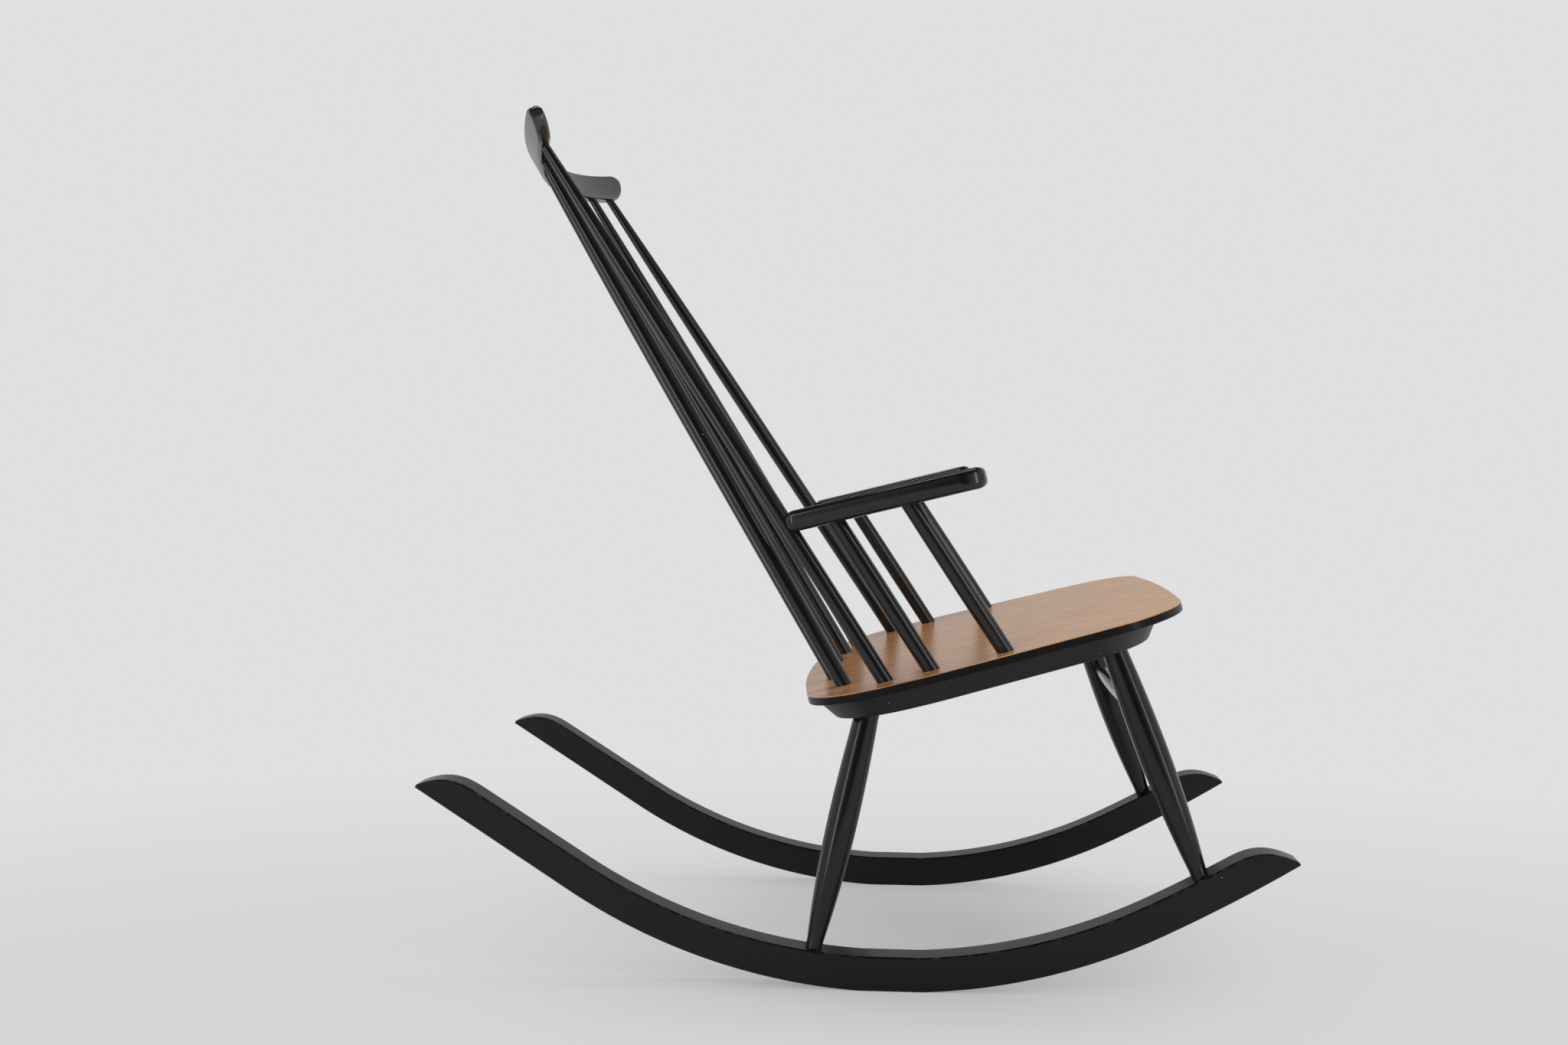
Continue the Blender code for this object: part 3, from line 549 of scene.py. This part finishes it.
def seat_outline(seat, front_inset, rear_inset, side_inset, front_corner, rear_corner, widest_corner):
    """Outline of a seat layer in the seat's plane: wide at the rear, with swept front and rear edges."""
    front = front_inset - seat.front
    rear = seat.rear - rear_inset
    widest = seat.width / 2 - side_inset
    half = [
        (widest - seat.front_taper, front + seat.front_sweep, front_corner),
        (widest, -seat.widest, widest_corner),
        (widest - seat.rear_taper, rear - seat.rear_sweep, rear_corner),
    ]
    peaks = (0, front, seat.middle_blend), (0, rear, seat.middle_blend)
    return rounded_outline([peaks[0], *half, peaks[1], *mirrored(half)])


def window_outline(sizes):
    """The opening in the base: a bay between the front legs' corner blocks, then the full width."""
    seat = sizes.seat
    base_front = seat.base_front_inset - seat.front
    bay = seat.width / 2 - sizes.legs.head_inset - sizes.legs.head_block
    widest = seat.width / 2 - seat.base_side_inset - seat.side_rail
    rear = seat.rear - seat.base_rear_inset - seat.rear_rail
    half = [
        (bay, base_front + seat.front_rail, seat.window_corner),
        (bay, base_front + seat.block, seat.window_corner),
        (widest - seat.front_taper, base_front + seat.block, seat.window_corner),
        (widest - seat.rear_taper, rear, seat.window_rear_corner),
    ]
    return rounded_outline([*half, *mirrored(half)])


def grown_outline(outline, growth):
    """The same outline, moved outward all round."""
    moved = []
    for before, here, after in zip([outline[-1], *outline], outline, [*outline[1:], outline[0]]):
        along = (after - before).normalized()
        moved.append(here + Vector((along.y, -along.x)) * growth)
    return moved


def make_layer(sizes, node, outline, top, thickness, edge, material, slot, eased, window=None, flare=0.0):
    """A flat layer of the seat: fill its outline, raise it, flare it and ease the rims that are named."""
    bm = bmesh.new()
    grain, on_edge = grain_layers(bm)
    outer = bm.verts.layers.int.new("outer")
    rings = []
    for ring in [outline] + ([window] if window else []):
        verts = [bm.verts.new((x, y, top - thickness)) for x, y in ring]
        for number, vert in enumerate(verts, 1):
            vert[outer] = number if ring is outline else 0
        rings += [bm.edges.new(ends) for ends in zip(verts, verts[1:] + verts[:1])]
    if window:
        bmesh.ops.triangle_fill(bm, use_beauty=True, use_dissolve=False, edges=rings, normal=(0, 0, 1))
    else:
        bmesh.ops.edgeloop_fill(bm, edges=rings)
    extruded = bmesh.ops.extrude_face_region(bm, geom=list(bm.faces))["geom"]
    lifted = [item for item in extruded if isinstance(item, bmesh.types.BMVert)]
    bmesh.ops.translate(bm, verts=lifted, vec=(0, 0, thickness))
    upper = grown_outline(outline, flare)
    for vert in lifted:
        if vert[outer]:
            vert.co.xy = upper[vert[outer] - 1]
    bmesh.ops.recalc_face_normals(bm, faces=bm.faces)
    levels = {"low": top - thickness, "high": top}
    rims = []
    for rim in bm.edges:
        flats = sum(abs(face.normal.z) > 0.9 for face in rim.link_faces)
        level = any(abs(rim.verts[0].co.z - levels[name]) < 0.00001 for name in eased)
        if flats == 1 and level and rim.verts[0][outer] and rim.verts[1][outer]:
            rims.append(rim)
    bmesh.ops.bevel(bm, geom=rims, offset=edge, segments=4, profile=0.5, affect="EDGES", clamp_overlap=True,
                    material=-1)
    for vert in bm.verts:
        depth = min(vert.co.z - top + thickness, top - vert.co.z) / edge
        vert[on_edge] = max(1 - abs(depth - 0.3) / 0.7, 0) if vert[outer] else 0
        vert[grain] = (vert.co.x, vert.co.z, vert.co.y)
    bmesh.ops.transform(bm, matrix=seat_frame(sizes.seat), verts=bm.verts)
    return new_piece(f"finished_{node}", bm, material, slot, node)


# Back

def stick_line(sizes):
    return sizes.seat.width / 2 - sizes.back.stick_inset


def crest_frame(sizes):
    """Where the crest rail's underside meets the middle plane, leaning with the back."""
    back, seat = sizes.back, sizes.seat
    foot = seat_frame(seat) @ Vector((0, seat.rear - back.setback, 0))
    lean = Vector((0, math.sin(back.lean), math.cos(back.lean)))
    length = (back.height - foot.z) / lean.z - back.rail_height
    return Matrix.Translation(foot + lean * length) @ Matrix.Rotation(-back.lean, 4, "X")


def crest_spot(back, along, out=0.0, up=0.0):
    """A place on the bent rail: along its middle line, out behind it, and up from its underside."""
    angle = along / back.rail_radius
    radius = back.rail_radius + out
    return Vector((radius * math.sin(angle), radius * math.cos(angle) - back.rail_radius, up))


def back_spindles(sizes):
    """The spindles from the sitter's right to left, so the first and last carry the arms."""
    back, seat = sizes.back, sizes.seat
    behind = 3
    pitch = (stick_line(sizes) - back.corner_gap) / (behind - 0.5)
    last = (behind - 0.5) * pitch
    feet = []
    for rank in range(behind):
        x = (rank + 0.5) * pitch
        feet.append((x, seat.rear - back.setback - back.sweep * (x / last) ** 2))
    feet.append((stick_line(sizes), -back.outer_foot))
    top_pitch = (back.rail_length - 2 * back.rail_overhang) / (2 * behind + 1)
    spindles = {}
    for side in SIDES.values():
        for rank, (x, y) in enumerate(feet):
            number = len(feet) - rank if side < 0 else len(feet) + 1 + rank
            foot = seat_frame(seat) @ Vector((side * x, y, 0))
            head = crest_frame(sizes) @ crest_spot(back, side * top_pitch * (rank + 0.5))
            tenons = back.foot_tenon, back.head_tenon
            diameters = back.foot, back.belly, back.head
            spindles[number] = Stick(f"back_spindle_{number}", foot, head, tenons, diameters,
                                     back.belly_at, back.neck)
    return spindles


def make_crest(sizes, material):
    back = sizes.back
    half = back.rail_length / 2
    body = back.rail_length - 2 * back.rail_nose
    tips = tip_spots(back.rail_nose, 16)
    spots = [-half + tip for tip in tips]
    spots += [-half + back.rail_nose + body * step / RAIL_STEPS for step in range(RAIL_STEPS + 1)]
    spots += [half - tip for tip in reversed(tips)]
    sections = []
    for along in spots:
        tip = half - abs(along)
        top_share = nose_share(tip, back.rail_top_nose, 2)
        low = back.rail_tip_rise * back.rail_height * (1 - nose_share(tip, back.rail_nose))
        high = back.rail_height * grown(back.rail_tip_height, top_share)
        thick = back.rail_thickness * grown(back.rail_tip_thickness, top_share)
        section = []
        for out, up, on_edge in rounded_section(thick / 2, low, high, back.rail_edge):
            point = crest_frame(sizes) @ crest_spot(back, along, out, up)
            section.append((point, (out, up, along), on_edge))
        sections.append(section)
    return new_piece("bent_crest_rail", loft(sections), material, "black_lacquer", "crest_rail")


# Arms

def arm_frame(sizes, outer, side):
    """Origin on the outer spindle's axis, -Y along the arm to the front."""
    place = Matrix.Translation(outer.at(sizes.arms.rise))
    spread = Matrix.Rotation(side * sizes.arms.spread, 4, "Z")
    return place @ spread @ Matrix.Rotation(-sizes.arms.slope, 4, "X")


def arm_posts(sizes, side_name, side, outer):
    arms = sizes.arms
    spot = arm_frame(sizes, outer, side)
    places = (
        ("rear", arms.rear_post_foot, arms.rear_post_head),
        ("front", arms.front_post_foot, arms.front_post_head),
    )
    posts = []
    for place, ahead, along in places:
        foot = seat_frame(sizes.seat) @ Vector((side * stick_line(sizes), -ahead, 0))
        middle = spot @ Vector((0, -along, 0))
        to_middle = (middle - foot).normalized()
        buried = arms.thickness / 2 / to_middle.dot(spot.to_3x3() @ Vector((0, 0, 1)))
        tenons = arms.post_tenon, buried + arms.post_reach
        diameters = arms.post_end, arms.post_belly, arms.post_end
        posts.append(Stick(f"arm_post_{place}_{side_name}", foot, middle - to_middle * buried, tenons,
                           diameters, 0.5, arms.post_neck))
    return posts


def make_arm(sizes, side_name, side, outer, material):
    arms = sizes.arms
    spot = arm_frame(sizes, outer, side)
    spindle_radius = outer.radius_at(arms.rise)
    rear = -(spindle_radius - arms.cope)
    run = arms.length + rear
    body = run - arms.nose - arms.rear_nose
    places = tip_spots(arms.rear_nose, 12)
    places += [arms.rear_nose + body * step / ARM_STEPS for step in range(ARM_STEPS + 1)]
    places += [run - tip for tip in reversed(tip_spots(arms.nose, 18))]
    sections = []
    for place in places:
        nose = nose_share(run - place, arms.nose)
        rear_nose = nose_share(place, arms.rear_nose)
        widened = math.sin(min(place / (run - arms.nose), 1) * math.pi / 2)
        width = arms.rear_width + (arms.front_width - arms.rear_width) * widened
        width *= grown(arms.tip_width, nose) * grown(arms.rear_tip_width, rear_nose)
        blunt_nose = nose_share(run - place, arms.nose / 3)
        thick = arms.thickness * grown(arms.tip_thickness, min(rear_nose, blunt_nose))
        section = []
        for across, up, on_edge in rounded_section(width / 2, -thick / 2, thick / 2, arms.edge):
            point = spot @ Vector((across, rear - place, up))
            section.append((point, (across, up, place + side), on_edge))
        sections.append(section)
    node = f"armrest_{side_name}"
    return new_piece(f"shaped_{node}", loft(sections), material, "black_lacquer", node)


# Legs and stretchers

def chair_legs(sizes):
    legs, seat, rockers = sizes.legs, sizes.seat, sizes.rockers
    underside = -(seat.veneer + seat.board + 2 * seat.glue + seat.base)
    front_edge = seat.base_front_inset - seat.front
    rear_edge = seat.rear - seat.base_rear_inset
    places = (
        ("front", legs.front_foot - rockers.length / 2, front_edge + legs.front_head),
        ("rear", legs.rear_foot + rockers.low_y, rear_edge - legs.rear_head),
    )
    made = {}
    for side_name, side in SIDES.items():
        for place, foot_y, head_y in places:
            foot = Vector((side * rocker_x(sizes), foot_y, rocker_top(rockers, foot_y)))
            head_x = side * (seat.width / 2 - legs.head_inset)
            head = seat_frame(seat) @ Vector((head_x, head_y, underside))
            tenons = legs.foot_tenon, legs.head_tenon
            diameters = legs.foot, legs.belly, legs.head
            made[place, side_name] = Stick(f"leg_{place}_{side_name}", foot, head, tenons, diameters,
                                           legs.belly_at, legs.neck)
    return made


def stretcher(sizes, legs, place):
    """The stretcher between the two legs of a pair."""
    ends = [legs[place, side_name] for side_name in SIDES]
    heights = [leg.shown - sizes.legs.stretcher_drop for leg in ends]
    middles = [leg.at(height) for leg, height in zip(ends, heights)]
    inward = (middles[1] - middles[0]).normalized()
    radius = ends[0].radius_at(heights[0])
    tenon = radius - sizes.legs.stretcher_stop
    end, belly = sizes.legs.stretcher_end, sizes.legs.stretcher_belly
    return Stick(f"stretcher_{place}", middles[0] + inward * radius, middles[1] - inward * radius,
                 (tenon, tenon), (end, belly, end), 0.5, sizes.legs.stretcher_neck)


# Finishes

def add_node(tree, kind, inputs=None, **options):
    """Add a shader node, set its options, and link or set its inputs."""
    node = tree.nodes.new("ShaderNode" + kind)
    for name, value in options.items():
        setattr(node, name, value)
    for socket, value in (inputs or {}).items():
        if isinstance(value, bpy.types.NodeSocket):
            tree.links.new(value, node.inputs[socket])
        else:
            node.inputs[socket].default_value = value
    return node


def new_finish(name):
    material = bpy.data.materials.new(name)
    material.use_nodes = True
    return material, material.node_tree, material.node_tree.nodes["Principled BSDF"]


def noise(tree, vector, scale, detail=2.0, roughness=0.5):
    made = add_node(tree, "TexNoise", {"Vector": vector, "Scale": scale, "Detail": detail,
                                       "Roughness": roughness})
    return made.outputs["Fac"]


def grain_noise(tree, vector, across, along, detail=2.0, roughness=0.5):
    """Noise on grain coordinates, scaled apart across and along the grain."""
    scales = (across, across, along)
    scaled = add_node(tree, "VectorMath", {0: vector, 1: scales}, operation="MULTIPLY").outputs[0]
    return noise(tree, scaled, 1.0, detail, roughness)


def spread(tree, value, low, high, to_low=0.0, to_high=1.0):
    """Map a range of values on to another, clamped."""
    made = add_node(tree, "MapRange", {"Value": value, "From Min": low, "From Max": high, "To Min": to_low,
                                       "To Max": to_high}, clamp=True)
    return made.outputs["Result"]


def sums(tree, operation, first, second):
    made = add_node(tree, "Math", {0: first, 1: second}, operation=operation)
    return made.outputs["Value"]


def weighted(tree, *parts):
    """Sum of patterns, each given with its weight."""
    scaled = [sums(tree, "MULTIPLY", pattern, weight) for pattern, weight in parts]
    total = scaled[0]
    for part in scaled[1:]:
        total = sums(tree, "ADD", total, part)
    return total


def blend_colours(tree, factor, first, second):
    made = add_node(tree, "Mix", {0: factor, 6: first, 7: second}, data_type="RGBA")
    return made.outputs[2]


def opaque(rgb):
    return (*rgb, 1)


def lacquer(finish, name, roughness=1.0, relief=1.0, sheen=0.5, rubbing=1.0, chips=()):
    """Satin black lacquer on wood: pores telegraph through it, edges are rubbed, and it has a few chips."""
    material, tree, shader = new_finish(name)
    grain = add_node(tree, "Attribute", attribute_name="grain").outputs["Vector"]
    edge = add_node(tree, "Attribute", attribute_name="edge").outputs["Fac"]
    place = add_node(tree, "TexCoord").outputs["Object"]
    pores = grain_noise(tree, grain, 900.0, 28.0, 3.0, 0.6)
    bands = grain_noise(tree, grain, 60.0, 2.5)
    cloud = noise(tree, place, 9.0, 4.0, 0.6)
    scuff = noise(tree, place, 120.0, 3.0, 0.55)
    peel = noise(tree, place, 420.0, 1.0)

    worn = spread(tree, weighted(tree, (cloud, 0.6), (scuff, 0.4)), 0.40, 0.66)
    base = blend_colours(tree, worn, opaque(finish.black), opaque(finish.faded_black))
    rub = sums(tree, "MULTIPLY", edge, spread(tree, scuff, 0.50, 0.72, 0.0, rubbing))
    base = blend_colours(tree, rub, base, opaque(finish.rubbed))
    for spot, size in chips:
        reach = add_node(tree, "VectorMath", {0: place, 1: spot}, operation="DISTANCE").outputs["Value"]
        ragged = sums(tree, "ADD", reach, sums(tree, "MULTIPLY", scuff, 0.6 * size))
        bare = spread(tree, ragged, 1.30 * size, 1.15 * size)
        base = blend_colours(tree, bare, base, opaque(finish.chip))
    tree.links.new(base, shader.inputs["Base Color"])

    shader.inputs["Specular IOR Level"].default_value = sheen
    low, high = 0.86 * finish.gloss * roughness, 1.22 * finish.gloss * roughness
    uneven = weighted(tree, (worn, 0.7), (bands, 0.3))
    tree.links.new(spread(tree, uneven, 0.1, 0.9, low, high), shader.inputs["Roughness"])
    height = weighted(tree, (pores, 0.55), (peel, 0.25), (bands, 0.6))
    bump = add_node(tree, "Bump", {"Height": height, "Strength": 0.05 * relief, "Distance": 0.0004})
    tree.links.new(bump.outputs["Normal"], shader.inputs["Normal"])
    return material


def teak_veneer(finish):
    """Varnished teak: straight bands and fine dark lines along the grain, short open pores, and a painted
    sheen that makes the front paler.
    """
    material, tree, shader = new_finish("teak_veneer_satin")
    grain = add_node(tree, "Attribute", attribute_name="grain").outputs["Vector"]
    sway = grain_noise(tree, grain, 7.0, 5.0)
    shift = add_node(tree, "CombineXYZ", {"X": spread(tree, sway, 0.2, 0.8, -0.006, 0.006)}).outputs[0]
    drawn = add_node(tree, "VectorMath", {0: grain, 1: shift}, operation="ADD").outputs[0]
    bands = grain_noise(tree, drawn, 42.0, 1.6, 3.0, 0.55)
    streaks = grain_noise(tree, drawn, 240.0, 9.0, 4.0, 0.62)
    fibres = grain_noise(tree, drawn, 1500.0, 26.0, 2.0, 0.6)
    pores = grain_noise(tree, drawn, 1900.0, 120.0, 1.0)
    flecks = grain_noise(tree, drawn, 520.0, 45.0)
    figure = grain_noise(tree, drawn, 110.0, 14.0, 3.0, 0.6)
    along = add_node(tree, "SeparateXYZ", {0: grain}).outputs["Z"]

    # Each layer: a pattern, the values where it starts and is full, its strength and its tone
    layers = (
        (bands, 0.36, 0.64, 1.0, finish.teak_light),
        (streaks, 0.50, 0.68, 0.85, finish.teak_dark),
        (fibres, 0.46, 0.70, 0.35, finish.teak_dark),
        (flecks, 0.58, 0.72, 0.30, finish.teak_light),
        (pores, 0.66, 0.74, 0.70, finish.teak_dark),
        # Painted sheen: the veneer is painted paler towards its front edge, in place of the sheen seen
        # there
        (along, -0.05, -0.33, 0.45, finish.teak_front_sheen),
        (figure, 0.50, 0.64, 0.42, finish.teak_dark),
    )
    base = opaque(finish.teak)
    for pattern, start, full, strength, tone in layers:
        base = blend_colours(tree, spread(tree, pattern, start, full, 0.0, strength), base, opaque(tone))
    tree.links.new(base, shader.inputs["Base Color"])

    tree.links.new(spread(tree, streaks, 0.3, 0.7, 0.88 * finish.satin, 1.16 * finish.satin),
                   shader.inputs["Roughness"])
    open_pores = spread(tree, pores, 0.66, 0.74)
    relief = sums(tree, "SUBTRACT", sums(tree, "MULTIPLY", fibres, 0.4), open_pores)
    bump = add_node(tree, "Bump", {"Height": relief, "Strength": 0.05, "Distance": 0.0003})
    tree.links.new(bump.outputs["Normal"], shader.inputs["Normal"])
    return material


def bare_beech(finish):
    """Plain beech with short flecks, for the hidden dowels."""
    material, tree, shader = new_finish("beech_bare")
    place = add_node(tree, "TexCoord").outputs["Object"]
    flecks = grain_noise(tree, place, 900.0, 120.0)
    dark = opaque([0.62 * part for part in finish.beech])
    base = blend_colours(tree, spread(tree, flecks, 0.45, 0.7), opaque(finish.beech), dark)
    tree.links.new(base, shader.inputs["Base Color"])
    tree.links.new(spread(tree, flecks, 0.3, 0.7, 0.5, 0.7), shader.inputs["Roughness"])
    return material


# Operators

class StageOperator(bpy.types.Operator):
    """Set the floor, the backdrop, the light and the camera"""
    bl_idname = "rocking_chair.stage"
    bl_label = "Stage"

    def execute(self, context):
        studio = context.scene.rocking_chair.studio
        context.scene.view_settings.view_transform = "Standard"
        self.set_camera(context, studio)
        self.set_floor(context, studio)
        self.set_world(context, studio)
        self.set_lamps(context)
        return {"FINISHED"}

    def set_camera(self, context, studio):
        data = bpy.data.cameras.new("photo_camera")
        data.lens = studio.lens
        data.sensor_width = 36
        data.sensor_fit = "HORIZONTAL"
        camera = bpy.data.objects.new("photo_camera", data)
        context.scene.collection.objects.link(camera)
        level = math.cos(studio.pitch)
        ahead = Vector((level * math.cos(studio.yaw), level * math.sin(studio.yaw), math.sin(studio.pitch)))
        camera.location = studio.eye
        camera.rotation_euler = ahead.to_track_quat("-Z", "Y").to_euler()
        context.scene.camera = camera

    def set_floor(self, context, studio):
        bm = bmesh.new()
        bmesh.ops.create_circle(bm, cap_ends=True, segments=96, radius=14)
        mesh = bpy.data.meshes.new("studio_floor")
        bm.to_mesh(mesh)
        bm.free()
        floor = bpy.data.objects.new("studio_floor", mesh)
        context.scene.collection.objects.link(floor)
        material, tree, shader = new_finish("studio_floor")
        shader.inputs["Base Color"].default_value = opaque(studio.floor)
        shader.inputs["Roughness"].default_value = 0.75
        shader.inputs["Specular IOR Level"].default_value = 0.15
        place = add_node(tree, "TexCoord").outputs["Object"]
        middle = (studio.wall_at - studio.floor_reach, 0, 0)
        reach = add_node(tree, "VectorMath", {0: place, 1: middle}, operation="DISTANCE").outputs["Value"]
        away = spread(tree, reach, studio.floor_reach - 0.90, studio.floor_reach + 0.10)
        path = add_node(tree, "LightPath")
        seen = sums(tree, "MAXIMUM", path.outputs["Is Camera Ray"], path.outputs["Is Glossy Ray"])
        fill = add_node(tree, "Emission", {"Color": opaque(studio.floor)})
        # The shadow stays under the chair and fades out beside it, so the floor runs on evenly
        beside = add_node(tree, "VectorMath", {0: place}, operation="LENGTH").outputs["Value"]
        shadow = spread(tree, beside, 0.15, 0.50, studio.shadow_lift, studio.far_lift)
        even = spread(tree, beside, 0.60, 1.30)
        lift = sums(tree, "MULTIPLY", path.outputs["Is Camera Ray"], sums(tree, "MAXIMUM", shadow, even))
        near = add_node(tree, "MixShader", {0: lift, 1: shader.outputs[0], 2: fill.outputs[0]})
        glow = add_node(tree, "Emission", {"Color": opaque(studio.backdrop)})
        both = add_node(tree, "MixShader", {0: sums(tree, "MULTIPLY", away, seen), 1: near.outputs[0],
                                            2: glow.outputs[0]})
        tree.links.new(both.outputs[0], tree.nodes["Material Output"].inputs["Surface"])
        mesh.materials.append(material)

    def set_world(self, context, studio):
        world = bpy.data.worlds.new("studio_world")
        world.use_nodes = True
        tree = world.node_tree
        path = add_node(tree, "LightPath")
        seen = sums(tree, "MAXIMUM", path.outputs["Is Camera Ray"], path.outputs["Is Transmission Ray"])
        way = add_node(tree, "SeparateXYZ", {0: add_node(tree, "TexCoord").outputs["Generated"]})
        far_side = spread(tree, way.outputs["X"], -0.35, 0.45)
        sides = blend_colours(tree, far_side, opaque(studio.room), opaque(studio.walls))
        at_ends = spread(tree, sums(tree, "ABSOLUTE", way.outputs["Y"], 0.0), 0.25, 0.65)
        around = blend_colours(tree, at_ends, sides, opaque(studio.ends))
        below_ceiling = spread(tree, way.outputs["Z"], 0.85, 0.45)
        mirrored_room = blend_colours(tree, below_ceiling, opaque(studio.room), around)
        room = blend_colours(tree, path.outputs["Is Glossy Ray"], opaque(studio.ambient), mirrored_room)
        level = blend_colours(tree, seen, room, opaque(studio.backdrop))
        tree.links.new(level, tree.nodes["Background"].inputs["Color"])
        context.scene.world = world

    def set_lamps(self, context):
        for name, spot, aim, width, height, power in LAMPS:
            data = bpy.data.lights.new(name, "AREA")
            data.shape = "RECTANGLE"
            data.size = width
            data.size_y = height
            data.energy = power
            lamp = bpy.data.objects.new(name, data)
            lamp.visible_camera = False
            lamp.location = spot
            lamp.rotation_euler = (Vector(aim) - Vector(spot)).to_track_quat("-Z", "Y").to_euler()
            context.scene.collection.objects.link(lamp)


class RockersOperator(bpy.types.Operator):
    """Shape the two rockers"""
    bl_idname = "rocking_chair.rockers"
    bl_label = "Rockers"

    def execute(self, context):
        sizes = context.scene.rocking_chair
        material = lacquer(sizes.finish, "black_lacquer_rockers", roughness=0.80, relief=0.3, sheen=0.30,
                           chips=ROCKER_CHIPS)
        for side_name, side in SIDES.items():
            make_rocker(sizes, side_name, side, material)
        return {"FINISHED"}


class LegsOperator(bpy.types.Operator):
    """Turn the four legs and the two stretchers"""
    bl_idname = "rocking_chair.legs"
    bl_label = "Legs and stretchers"

    def execute(self, context):
        sizes = context.scene.rocking_chair
        material = lacquer(sizes.finish, "black_lacquer_legs", roughness=0.50, relief=0.06, sheen=0.42)
        legs = chair_legs(sizes)
        for leg in legs.values():
            leg.make(material)
        for place in ("front", "rear"):
            stretcher(sizes, legs, place).make(material)
        return {"FINISHED"}


class SeatOperator(bpy.types.Operator):
    """Cut the veneer, the board and the base frame of the seat"""
    bl_idname = "rocking_chair.seat"
    bl_label = "Seat"

    def execute(self, context):
        sizes = context.scene.rocking_chair
        seat = sizes.seat
        black = lacquer(sizes.finish, "black_lacquer_seat", roughness=1.4, relief=0.2, sheen=0.42,
                        rubbing=0.2, chips=SEAT_CHIPS)
        board_black = lacquer(sizes.finish, "black_lacquer_board", roughness=0.9, relief=0.2, sheen=0.15,
                              rubbing=0.2)
        teak = teak_veneer(sizes.finish)
        outline = seat_outline(seat, 0, 0, 0, seat.front_corner, seat.rear_corner, seat.widest_corner)
        base = seat_outline(seat, seat.base_front_inset, seat.base_rear_inset, seat.base_side_inset,
                            seat.base_front_corner, seat.base_rear_corner, seat.base_widest_corner)
        board_top = -(seat.veneer + seat.glue)
        base_top = board_top - seat.board - seat.glue
        make_layer(sizes, "seat_veneer", outline, 0, seat.veneer, seat.veneer_edge, teak, "teak_veneer",
                   ("high",))
        make_layer(sizes, "seat_board", outline, board_top, seat.board, seat.board_edge, board_black,
                   "black_edge_board", ("low",))
        make_layer(sizes, "seat_base", base, base_top, seat.base, seat.base_edge, black, "black_lacquer",
                   ("low", "high"), window_outline(sizes), seat.base_flare)
        return {"FINISHED"}


class SpindlesOperator(bpy.types.Operator):
    """Turn the eight back spindles"""
    bl_idname = "rocking_chair.spindles"
    bl_label = "Back spindles"

    def execute(self, context):
        sizes = context.scene.rocking_chair
        material = lacquer(sizes.finish, "black_lacquer_spindles", roughness=0.42, relief=0.05,
                           chips=SPINDLE_CHIPS)
        for spindle in back_spindles(sizes).values():
            spindle.make(material)
        return {"FINISHED"}


class CrestOperator(bpy.types.Operator):
    """Bend the crest rail"""
    bl_idname = "rocking_chair.crest"
    bl_label = "Crest rail"

    def execute(self, context):
        sizes = context.scene.rocking_chair
        material = lacquer(sizes.finish, "black_lacquer_crest", roughness=0.55, relief=0.05, sheen=1.0,
                           rubbing=0.0)
        make_crest(sizes, material)
        return {"FINISHED"}


class ArmsOperator(bpy.types.Operator):
    """Shape the arms, turn their posts and give the hidden dowels their wood"""
    bl_idname = "rocking_chair.arms"
    bl_label = "Arms and posts"

    def execute(self, context):
        sizes = context.scene.rocking_chair
        arm_black = lacquer(sizes.finish, "black_lacquer_arms", roughness=0.36, relief=0.05, rubbing=0.1)
        post_black = lacquer(sizes.finish, "black_lacquer_posts", roughness=0.42, relief=0.05)
        beech = bare_beech(sizes.finish)
        spindles = back_spindles(sizes)
        for side_name, side in SIDES.items():
            outer = spindles[1 if side < 0 else len(spindles)]
            make_arm(sizes, side_name, side, outer, arm_black)
            for post in arm_posts(sizes, side_name, side, outer):
                post.make(post_black)
            dowel = frame["nodes"][f"arm_dowel_{side_name}"]
            dowel.data.materials.clear()
            dowel.data.materials.append(beech)
        return {"FINISHED"}


OPERATORS = (StageOperator, RockersOperator, LegsOperator, SeatOperator, SpindlesOperator, CrestOperator,
             ArmsOperator)


class ChairPanel(bpy.types.Panel):
    """Lists the steps that make the chair."""
    bl_idname = "VIEW3D_PT_rocking_chair"
    bl_label = "Rocking chair"
    bl_space_type = "VIEW_3D"
    bl_region_type = "UI"
    bl_category = "Rocking chair"

    def draw(self, context):
        for operator in OPERATORS:
            self.layout.operator(operator.bl_idname)


CLASSES = (RockerSizes, SeatSizes, BackSizes, ArmSizes, LegSizes, FinishSettings, StudioSettings,
           ChairSettings, *OPERATORS, ChairPanel)


def register():
    for item in CLASSES:
        bpy.utils.register_class(item)
    bpy.types.Scene.rocking_chair = PointerProperty(type=ChairSettings)


def unregister():
    del bpy.types.Scene.rocking_chair
    for item in reversed(CLASSES):
        bpy.utils.unregister_class(item)


def main():
    register()
    bpy.ops.rocking_chair.stage()
    bpy.ops.rocking_chair.rockers()
    bpy.ops.rocking_chair.legs()
    bpy.ops.rocking_chair.seat()
    bpy.ops.rocking_chair.spindles()
    bpy.ops.rocking_chair.crest()
    bpy.ops.rocking_chair.arms()


if __name__ == "__main__":
    main()
